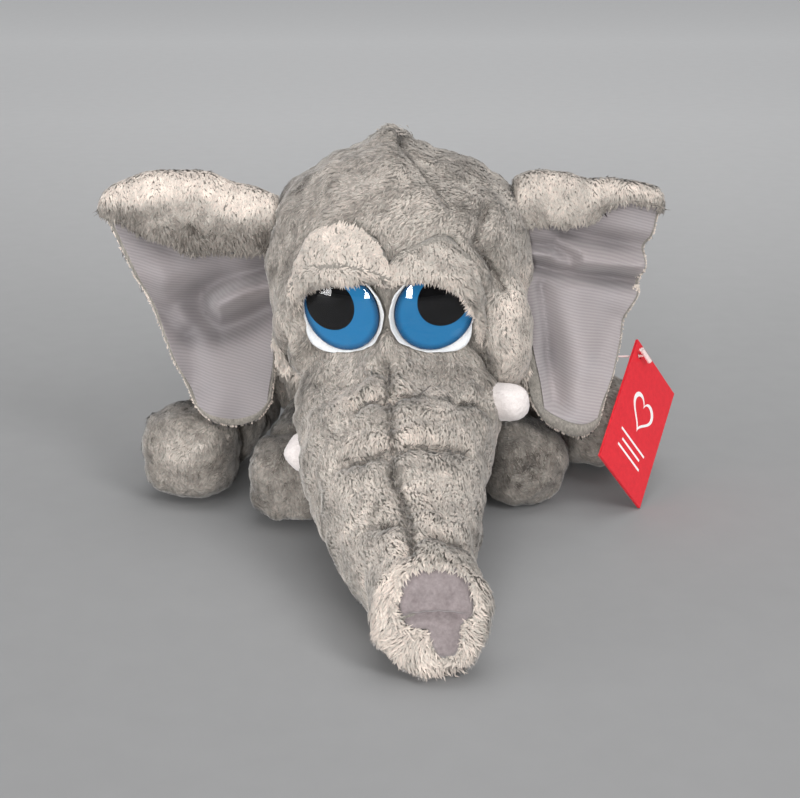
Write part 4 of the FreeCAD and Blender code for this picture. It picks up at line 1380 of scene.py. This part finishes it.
def grid_at(grid, u, v):
    """Values of a grid at fractional shares u (across) and v (up)."""
    rows, columns = grid.shape[:2]
    x = np.clip(u, 0.0, 1.0) * (columns - 1)
    y = np.clip(v, 0.0, 1.0) * (rows - 1)
    i = np.minimum(x.astype(int), columns - 2)
    j = np.minimum(y.astype(int), rows - 2)
    s = (x - i)[..., None]
    t = (y - j)[..., None]
    return (grid[j, i] * (1 - s) * (1 - t) + grid[j, i + 1] * s * (1 - t)
            + grid[j + 1, i] * (1 - s) * t + grid[j + 1, i + 1] * s * t)
FOLD_GAIN = {"left": 1.45, "right": 1.3}
FOLD_WIDTH = {"left": 1.35, "right": 1.15}
FOLD_SEED = {"left": 101, "right": 102}


def ear_depth(side, spots):
    """How far the ear's cloth is pushed back at (out, height)."""
    flat = spots.reshape(-1, 2)
    depth = 0.9 * waves(np.column_stack([flat, np.zeros(len(flat))]), 34.0, FOLD_SEED[side])
    for line, push, width in EAR_FOLDS[side]:
        distance, _ = line_distance(flat, line)
        depth = depth + FOLD_GAIN[side] * push * near(distance, width * FOLD_WIDTH[side])
    if side == "right":
        depth = depth - 9.0 * smooth(72.0, 38.0, flat[:, 1])
    return depth.reshape(spots.shape[:-1])


def slab(name, front, back):
    """Closed piece between two equal grids of points."""
    rows, columns = front.shape[:2]
    total = rows * columns
    verts = np.concatenate([front.reshape(-1, 3), back.reshape(-1, 3)])
    faces = []
    for i in range(rows - 1):
        for j in range(columns - 1):
            a = i * columns + j
            b = a + columns
            faces.append([a, a + 1, b + 1, b])
            faces.append([total + a, total + b, total + b + 1, total + a + 1])
    edge = list(range(columns)) + [i * columns + columns - 1 for i in range(1, rows)]
    edge += [(rows - 1) * columns + j for j in range(columns - 2, -1, -1)]
    edge += [i * columns for i in range(rows - 2, 0, -1)]
    for here, there in zip(edge, edge[1:] + edge[:1]):
        faces.append([here, total + here, total + there, there])
    made = make_object(name, verts, faces)
    fix_normals(made)
    return made


LINING_INNER = {"left": 0.03, "right": 0.05}
LINING_LOW = {"left": 0.025, "right": 0.05}
# painted light of each ear's lining: the left lining darker, as painted shade
LINING_PAINTED_LIGHT = {"left": 0.58, "right": 0.86}
# how far the folded top hangs over the lining: out, length
FLAP_LENGTH = {"left": [(-7, 23), (5, 28), (16, 31), (33, 32.5), (45, 28), (53, 23), (62, 14),
                        (71, 6)],
               "right": [(-9, 19), (0, 23), (10.6, 20.5), (24, 16.5), (35, 10.5), (45, 7.5),
                         (58, 5)]}


def make_lining(side):
    """Folded cloth of the ear's front, with painted shade in its folds and under the flap."""
    rows, columns = 110, 70
    v = np.linspace(LINING_LOW[side], 0.97, rows)[:, None] + np.zeros((1, columns))
    inner = LINING_INNER[side] + (0.2 if side == "right" else 0.0) * smooth(0.45, 0.12, v)
    u = np.linspace(0.0, 1.0, columns)[None, :] * (1.0 - inner - 0.03) + inner
    u = u + (0.5 - u) * 0.12 * smooth(0.22, 0.03, v)
    spots = grid_at(ear_grid(side, columns, rows), u, v)
    depth = ear_depth(side, spots)
    out, height = spots[..., 0], spots[..., 1]
    front = ear_place(side, out, depth - 0.35, height)
    back = ear_place(side, out, depth + 0.35, height)
    lining = slab(side + "_ear_lining_cloth", front, back)
    flap_edge = table_at(EAR_TOP[side], out) - table_at(FLAP_LENGTH[side], out)
    below = np.maximum(flap_edge - height, 0.0)
    # painted shade: darker where the cloth is pushed back into a fold, a little paler on ridges,
    # darker just under the flap
    folds = 1.0 - 0.6 * smooth(2.0, 9.0, depth) + 0.1 * smooth(0.0, -5.0, depth)
    painted_shade = LINING_PAINTED_LIGHT[side] * folds
    painted_shade = np.clip(painted_shade * (1.0 - 0.5 * np.exp(-below / 5.0)), 0.0, 1.0).ravel()
    add_values(lining.data, "painted_shade", np.concatenate([painted_shade, painted_shade]))
    refine(lining)
    paint(lining, LINING)
    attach(lining, side + "_ear")
    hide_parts(side + "_ear_lining")


def make_ear_back(side):
    """Plush back of the ear with a rounded rim, and its pile, longest forward over the edge."""
    grid = ear_grid(side, 46, 76)
    rows, columns = grid.shape[:2]
    u = np.linspace(0.0, 1.0, columns)[None, :]
    v = np.linspace(0.0, 1.0, rows)[:, None]
    depth = ear_depth(side, grid)
    rim = np.minimum(np.minimum(1.0 - u, v), 1.0 - v) * 46.0
    rim = np.minimum(rim, np.where(v < 0.5, u * 46.0, 9.0))
    round_off = np.sqrt(1.0 - (1.0 - np.clip(rim / 2.6, 0.0, 1.0)) ** 2)
    lip = 1.3 * near(rim - 1.2, 1.3)
    front = ear_place(side, grid[..., 0], depth + 1.9 - 1.2 * round_off - lip, grid[..., 1])
    back = ear_place(side, grid[..., 0], depth + 1.9 + 2.3 * round_off, grid[..., 1])
    plush = slab(side + "_ear_plush", front, back)
    refine(plush)
    paint(plush, BACKING)
    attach(plush, side + "_ear")
    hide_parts(side + "_ear_back")
    place, normal = scatter(plush, 0.95, 111)
    hinge = np.array(EAR_HINGE[side])
    backward = ear_way(side, 1.0, 0.0)
    facing = normal @ backward
    spots = (place - hinge) @ turn_about(2, SIDES[side] * EAR_SWEEP[side]) - EAR_LEVEL
    spots = spots @ turn_about(0, EAR_TILT) + EAR_LEVEL
    spots[:, 0] *= SIDES[side]
    outline = EAR_BOTTOM[side] + EAR_OUTER[side] + EAR_TOP[side][::-1] + EAR_INNER[side][::-1]
    to_edge, _ = line_distance(spots[:, [0, 2]], outline)
    under_crest = table_at(EAR_TOP[side], spots[:, 0]) - spots[:, 2]
    keep = (facing > 0.2) | ((facing > -0.55) & (to_edge < 3.0))
    keep &= (under_crest > 4.0) | (facing > 0.75)
    keep &= np.linalg.norm(place - HEAD_CENTRE, axis=1) >= 60.0
    place, normal, facing = place[keep], normal[keep], facing[keep]
    away = unit(place - (hinge + np.array([SIDES[side] * 25.0, 0.0, 90.0])))
    edge = smooth(0.75, 0.35, facing)[:, None]
    over_edge = away * 1.2 + np.array([0.0, -0.25, -0.1])
    nap = np.array([0.0, -0.15, -1.0]) * (1.0 - edge) + over_edge * edge
    leaning = unit(normal + edge * (0.6 * away - 0.9 * backward))
    # painted light: rim locks that face away from the lamps are made paler against their shading
    tone = tone_of(place, 0.55, 112) + 0.34 * edge[:, 0]
    grow(side + "_ear_pile", place, leaning, nap, 3.2 - 1.6 * edge[:, 0], 0.9, 0.2,
         tone, 113, on(side + "_ear"))


FLAP_PUFF = {"left": 8.0, "right": 6.0}
FLAP_TONE = {"left": 0.22, "right": 0.42}
# how much paler each flap's crest is: partly its cream pile, partly painted top light
FLAP_LIGHT = {"left": 0.58, "right": 0.26}


def make_flap(side):
    """Top of the ear, folded over forward as a soft roll."""
    top = even_curve(EAR_TOP[side], 80)
    rings = []
    for index, (out, height) in enumerate(top):
        share = index / (len(top) - 1.0)
        drop = table_at(FLAP_LENGTH[side], out)
        puff = FLAP_PUFF[side] * (0.35 + 0.65 * min(1.0, drop / 20.0))
        puff *= 0.55 + 0.45 * math.sqrt(max(0.0, math.sin(math.pi * min(1.0, 0.12 + share * 0.88))))
        section = np.array([(3.8, -drop * 0.35 - 3.0), (3.6, -3.5), (2.6, -0.6), (0.0, 0.9),
                            (-0.5 * puff, 0.6), (-0.95 * puff, -0.16 * drop),
                            (-1.22 * puff, -0.42 * drop),
                            (-1.2 * puff, -0.72 * drop), (-0.95 * puff, -0.97 * drop),
                            (-0.8 * puff, -1.0 * drop), (-0.62 * puff, -0.9 * drop),
                            (-0.42 * puff, -0.55 * drop), (-0.1 * puff, -0.3 * drop - 1.0),
                            (1.6, -0.3 * drop - 3.0), (3.0, -0.34 * drop - 3.4)])
        dense = even_curve(np.concatenate([section, section[:1]]), 49)[:-1]
        wobble = 0.8 * math.sin(out / 5.5) + 0.5 * math.sin(out / 2.9 + 1.0)
        bottom = smooth(0.5, 1.0, -dense[:, 1] / max(drop, 1.0))
        raised = height + dense[:, 1] + wobble * bottom
        spots = np.stack([np.full(48, out), dense[:, 0], raised], axis=1)
        shrink = math.sqrt(min(1.0, (1.0 - share) * 16.0 + 0.05))
        middle = spots.mean(axis=0)
        spots[:, 1:] = middle[1:] + (spots[:, 1:] - middle[1:]) * shrink
        rings.append(ear_place(side, *spots.T))
    verts, faces = loft(rings, rings[0].mean(axis=0), rings[-1].mean(axis=0))
    flap = make_object(side + "_ear_flap", verts, faces)
    fix_normals(flap)
    roughen(flap, (0.5, 17.0, 121))
    paint(flap, BACKING)
    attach(flap, side + "_ear")
    place, normal = scatter(flap, 0.66, 122)
    forward = ear_way(side, -1.0, 0.0)
    upward = ear_way(side, 0.0, 1.0)
    ahead, rising = normal @ forward, normal @ upward
    keep = ((ahead > -0.2) | (rising > 0.1)) & ~((ahead < 0.1) & (rising < 0.0))
    place, normal, rising = place[keep], normal[keep], rising[keep]
    # paler where the flap faces up and stands high: cream pile on its crest, with painted top light
    high = rising + 0.25 * (place[:, 2] - 128.0) / 10.0
    tone = tone_of(place, FLAP_TONE[side], 123) + FLAP_LIGHT[side] * smooth(-0.1, 0.75, high)
    length = 3.4 + 1.6 * smooth(0.2, -0.5, rising)
    grow(side + "_flap_pile", place, normal, -upward + 0.35 * forward, length, 0.9,
         0.09 + 0.24 * smooth(0.3, -0.4, high), tone, 124, on(side + "_ear"), 0.05)


for side in SIDES:
    make_lining(side)
    make_ear_back(side)
    make_flap(side)


# ---------------------------------------------------------------- torso, legs, tail

TORSO_CENTRE = (0.0, 74.0)
PILE_DEPTH = 1.8
TORSO_SEAMS = (90.0, 205.0, -25.0)


def torso_reach(height):
    """Radius of the torso's bag at a height."""
    if height < 48.0:
        return 6.0 + math.sqrt(max(52.0 ** 2 - (48.0 - height) ** 2, 0.0))
    return 58.0 * math.sqrt(max(1.0 - ((height - 48.0) / 73.0) ** 2, 0.0))


def make_torso():
    """Filled bag of the torso with three sewn lines, cleared under the head's ball."""
    rings = []
    angles = bearings(64)
    for height in np.concatenate([np.linspace(1.5, 112.0, 26), [116.0, 119.0]]):
        reach = torso_reach(height) - PILE_DEPTH
        spots = torso_point(TORSO_CENTRE[0] + reach * np.cos(angles),
                            TORSO_CENTRE[1] + reach * np.sin(angles), np.full(64, height))
        rings.append(spots.T)
    base = torso_point(*TORSO_CENTRE, 1.5)
    peak = torso_point(*TORSO_CENTRE, 119.6)
    skin = fuse("torso_plush", [loft(rings, base, peak)], 2.6, 2)
    points = layout_points(skin)
    middle = torso_point(*TORSO_CENTRE, 0.0)
    seams = []
    for bearing in TORSO_SEAMS:
        angle = math.radians(bearing) + TORSO_YAW
        line = [middle + [(torso_reach(z) - PILE_DEPTH) * math.cos(angle),
                          (torso_reach(z) - PILE_DEPTH) * math.sin(angle), z]
                for z in np.linspace(2.0, 118.0, 30)]
        seams.append((line, 2.2, 3.2, 0.5))
    held = (points[:, 2] < 5.0).astype(float)
    for seam in seams:
        held = np.maximum(held, near(line_distance(points, seam[0])[0], 3.0))
    stuff(skin, held, 3.0, 3.0)
    points = layout_points(skin)
    normals = point_normals(skin)
    swell = uneven(points, (0.8, 30.0, 131), (0.4, 12.0, 132))
    points = crease(points + normals * swell[:, None], normals, seams)
    away = points - HEAD_CENTRE
    gap = np.linalg.norm(away, axis=1)
    inside = np.maximum(61.6 - gap, 0.0)
    points = points + unit(away) * inside[:, None]
    points[:, 2] = np.maximum(points[:, 2], 0.6)
    set_layout_points(skin, points)
    paint(skin, BACKING)
    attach(skin, "torso")
    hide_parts("torso_skin", "torso_stuffing")
    place, normal = scatter(skin, 1.0, 133)
    keep = (np.linalg.norm(place - HEAD_CENTRE, axis=1) > 62.5) & (place[:, 2] > 1.2)
    place, normal = place[keep], normal[keep]
    grow("torso_pile", place, normal, (0.0, 0.25, -1.0), 3.8, 1.1,
         0.26 + 0.06 * waves(place, 20.0, 134), tone_of(place, 0.52, 135), 136, on("torso"))


# root, its radius, foot, its radius, all in the torso's axes for the right side
LEGS = {"front": ((35.0, 24.0, 32.0), 16.0, (53.0, -24.0, 20.0), 20.0),
        "rear": ((62.8, 73.0, 24.0), 18.0, (100.0, 15.0, 22.5), 22.5)}
LEG_PROFILE = ((-0.1, 0.8), (0.1, 0.96), (0.35, 1.0), (0.6, 0.98), (0.8, 0.93), (1.0, 0.8))
# base tone of each leg's pile, darkened as painted shade: the front legs most, for the deep shade
# under trunk and ears
LEG_TONE_WITH_PAINTED_SHADE = {"front": 0.17, "rear": 0.29}
FOOT_MOVES = {("left", "rear"): (4.0, -4.0, 0.0)}


def make_leg(side, kind):
    """Leg lying on the floor, with a rounded paw and the pucker of its stitched sole."""
    sign = SIDES[side]
    body = side + "_" + kind + "_leg"
    root, root_radius, foot, foot_radius = LEGS[kind]
    start = torso_point(sign * root[0], root[1], root[2])
    end = torso_point(sign * foot[0], foot[1], foot[2])
    end = end + np.array(FOOT_MOVES.get((side, kind), (0, 0, 0)))
    axis = unit(end - start)
    first = unit(np.cross([0.0, 0.0, 1.0], axis))
    second = np.cross(axis, first)
    length = np.linalg.norm(end - start)
    rings = []
    for share, wide in LEG_PROFILE:
        radius = (root_radius + (foot_radius - root_radius) * share) * wide - PILE_DEPTH
        rings.append(tube_ring(start + axis * length * share, radius, first, second, bearings(48)))
    tube = loft(rings, start - axis * length * 0.12, end + axis * 2.0)
    radii = np.array([foot_radius - PILE_DEPTH, foot_radius * 0.86, foot_radius - PILE_DEPTH])
    paw = globe(end, radii * [1.0, 1.0, 0.97], 3.0, np.stack([first, axis, second], axis=1))
    skin = fuse(body + "_plush", [tube, paw], 2.2, 5)

    def sole_parts(points):
        """Across and along the leg from the paw's middle, and across and up from the stitch."""
        local = points - end
        across, along, up = local @ first, local @ axis, local @ second
        return across, along, across + sign * 0.3 * foot_radius, up - 0.35 * foot_radius

    x, y, from_x, from_z = sole_parts(layout_points(skin))
    middle_line = 0.8 * (np.abs(x) < 1.6) * (y < 6.0)
    stuff(skin, np.maximum(near(np.hypot(from_x, from_z), 4.0), middle_line), 3.5, 2.2)
    points = layout_points(skin)
    x, y, from_x, from_z = sole_parts(points)
    stitched = np.hypot(from_x, from_z)
    on_sole = smooth(0.0, 8.0, y)
    pull = 3.2 * near(stitched, 3.4) * on_sole
    rays = 0.6 * np.sin(np.arctan2(from_z, from_x) * 7.0) * near(stitched - 6.0, 5.0) * on_sole
    swell = uneven(points, (0.5, 16.0, 141), (0.25, 7.0, 142))
    ankle = 1.3 * near(y + 0.62 * foot_radius, 3.0)
    points = points + point_normals(skin) * (swell - pull + rays - ankle)[:, None]
    points[:, 2] = np.maximum(points[:, 2], 0.9)
    set_layout_points(skin, points)
    paint(skin, BACKING)
    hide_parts(body + "_skin", body + "_stuffing")
    place, normal = scatter(skin, 0.8, 143)
    keep = (place[:, 2] > 1.0) & ((place - start) @ axis > -2.0)
    place, normal = place[keep], normal[keep]
    toward_sole = smooth(0.0, 14.0, (place - end) @ axis)
    tone = tone_of(place, LEG_TONE_WITH_PAINTED_SHADE[kind], 144) + 0.06 * toward_sole
    grow(body + "_pile", place, normal, axis * 0.9 + np.array([0.0, 0.0, -0.45]),
         3.5 - 0.7 * toward_sole, 0.9, 0.2 - 0.12 * toward_sole, tone, 145, on(body), 0.05)
    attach(skin, body)


def make_tail():
    """Thin tail that hangs to the floor, thicker at its tuft."""
    root = joint_place("tail_swing") - SHIFT
    tuft_low, tuft_high = node_box("tail_tuft")
    tip = (tuft_low + tuft_high) / 2.0
    tip[2] = 11.0
    halfway = root * 0.5 + tip * 0.5 + [0.0, 2.5, 1.0]
    path = curve_through([root + [0.0, -4.0, 1.0], root, halfway, tip], 18)
    last = len(path) - 1
    rings = []
    for index, centre in enumerate(path):
        axis = unit(path[min(index + 1, last)] - path[max(index - 1, 0)])
        first = unit(np.cross(axis, [1.0, 0.0, 0.0]))
        share = index / last
        radius = 4.2 - 0.8 * math.sin(math.pi * share) + 2.2 * smooth(0.75, 0.95, share)
        rings.append(tube_ring(centre, 4.0 if index == last else radius, first,
                               np.cross(axis, first), bearings(20)))
    verts, faces = loft(rings, path[0], path[-1] + [0.0, 0.6, -1.5])
    tail = make_object("tail_plush", verts, faces)
    fix_normals(tail)
    refine(tail)
    paint(tail, BACKING)
    place, normal = scatter(tail, 0.95, 151)
    keep = place[:, 2] > 1.0
    place, normal = place[keep], normal[keep]
    tuft = smooth(26.0, 16.0, place[:, 2])
    grow("tail_pile", place, normal, unit(tip - root), 3.2 + 3.2 * tuft, 0.9, 0.26 + 0.12 * tuft,
         tone_of(place, 0.52, 152), 153, on("tail"))
    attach(tail, "tail")
    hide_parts("tail_tube", "tail_tuft")


make_torso()
for side in SIDES:
    make_leg(side, "front")
    make_leg(side, "rear")
make_tail()

# ---------------------------------------------------------------- tag and small CAD pieces

HEART_SCALE = 0.62
HEART_MOVE = np.array([0.0, -6.0])
PRINT_RISE = 0.12
# height on the card, half length
BARS = ((10.5, 12.0), (14.5, 9.0), (18.5, 11.0))
BAR_HEIGHT = 1.1
BOX_FACES = ((0, 1, 2, 3), (4, 7, 6, 5), (0, 4, 5, 1), (1, 5, 6, 2), (2, 6, 7, 3), (3, 7, 4, 0))


def make_print():
    """Heart outline and three plain bars, a hair proud of the card's face."""
    card_verts = frame["nodes"]["hang_tag"].data.vertices
    verts = np.array([vertex.co for vertex in card_verts]) / MM - SHIFT
    middle = (verts.max(axis=0) + verts.min(axis=0)) / 2.0
    along = unit(np.array([-0.335, -0.738, -0.574]))
    across = unit(np.array([0.521, 0.364, -0.772]))
    across = unit(across - along * (across @ along))
    facing = np.cross(across, along)
    if facing[1] > 0.0:
        facing = -facing
    face = ((verts - middle) @ facing).max()

    def card(x, y, lift):
        """Points on the card, the lift measured from just inside its face."""
        return middle + np.outer(x, across) + np.outer(y, along) + facing * (face + lift - 0.02)

    count = 96
    turn = bearings(count)
    heart_y = -(13.0 * np.cos(turn) - 5.0 * np.cos(2 * turn) - 2.0 * np.cos(3 * turn)
                - np.cos(4 * turn))
    outline = np.stack([16.0 * np.sin(turn) ** 3, heart_y], axis=1)
    inner = outline * 0.80 + np.array([0.0, 0.4])
    printed = []
    faces = []
    for shape, lift in ((outline, 0.0), (outline, PRINT_RISE), (inner, PRINT_RISE), (inner, 0.0)):
        flat = shape * HEART_SCALE + HEART_MOVE
        printed += card(flat[:, 0], flat[:, 1], lift).tolist()
    for ring in range(4):
        here, up = ring * count, ((ring + 1) % 4) * count
        for index in range(count):
            after = (index + 1) % count
            faces.append([here + index, here + after, up + after, up + index])
    for y, half in BARS:
        start = len(printed)
        for lift in (0.0, PRINT_RISE):
            printed += card([-half, half, half, -half],
                            [y, y, y + BAR_HEIGHT, y + BAR_HEIGHT], lift).tolist()
        faces += [[start + corner for corner in box_face] for box_face in BOX_FACES]
    made = make_object("tag_heart_print", printed, faces)
    fix_normals(made)
    shade_faces(made.data, False)
    paint(made, PRINT)
    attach(made, "tag")


make_print()
for name, material in (("hang_tag", CARD), ("tag_pin", PIN), ("care_label", RIBBON),
                       ("bean_pouch", POUCH), ("bean_pellets", PELLET), ("neck_wad", FIBRE)):
    paint_node(name, material)
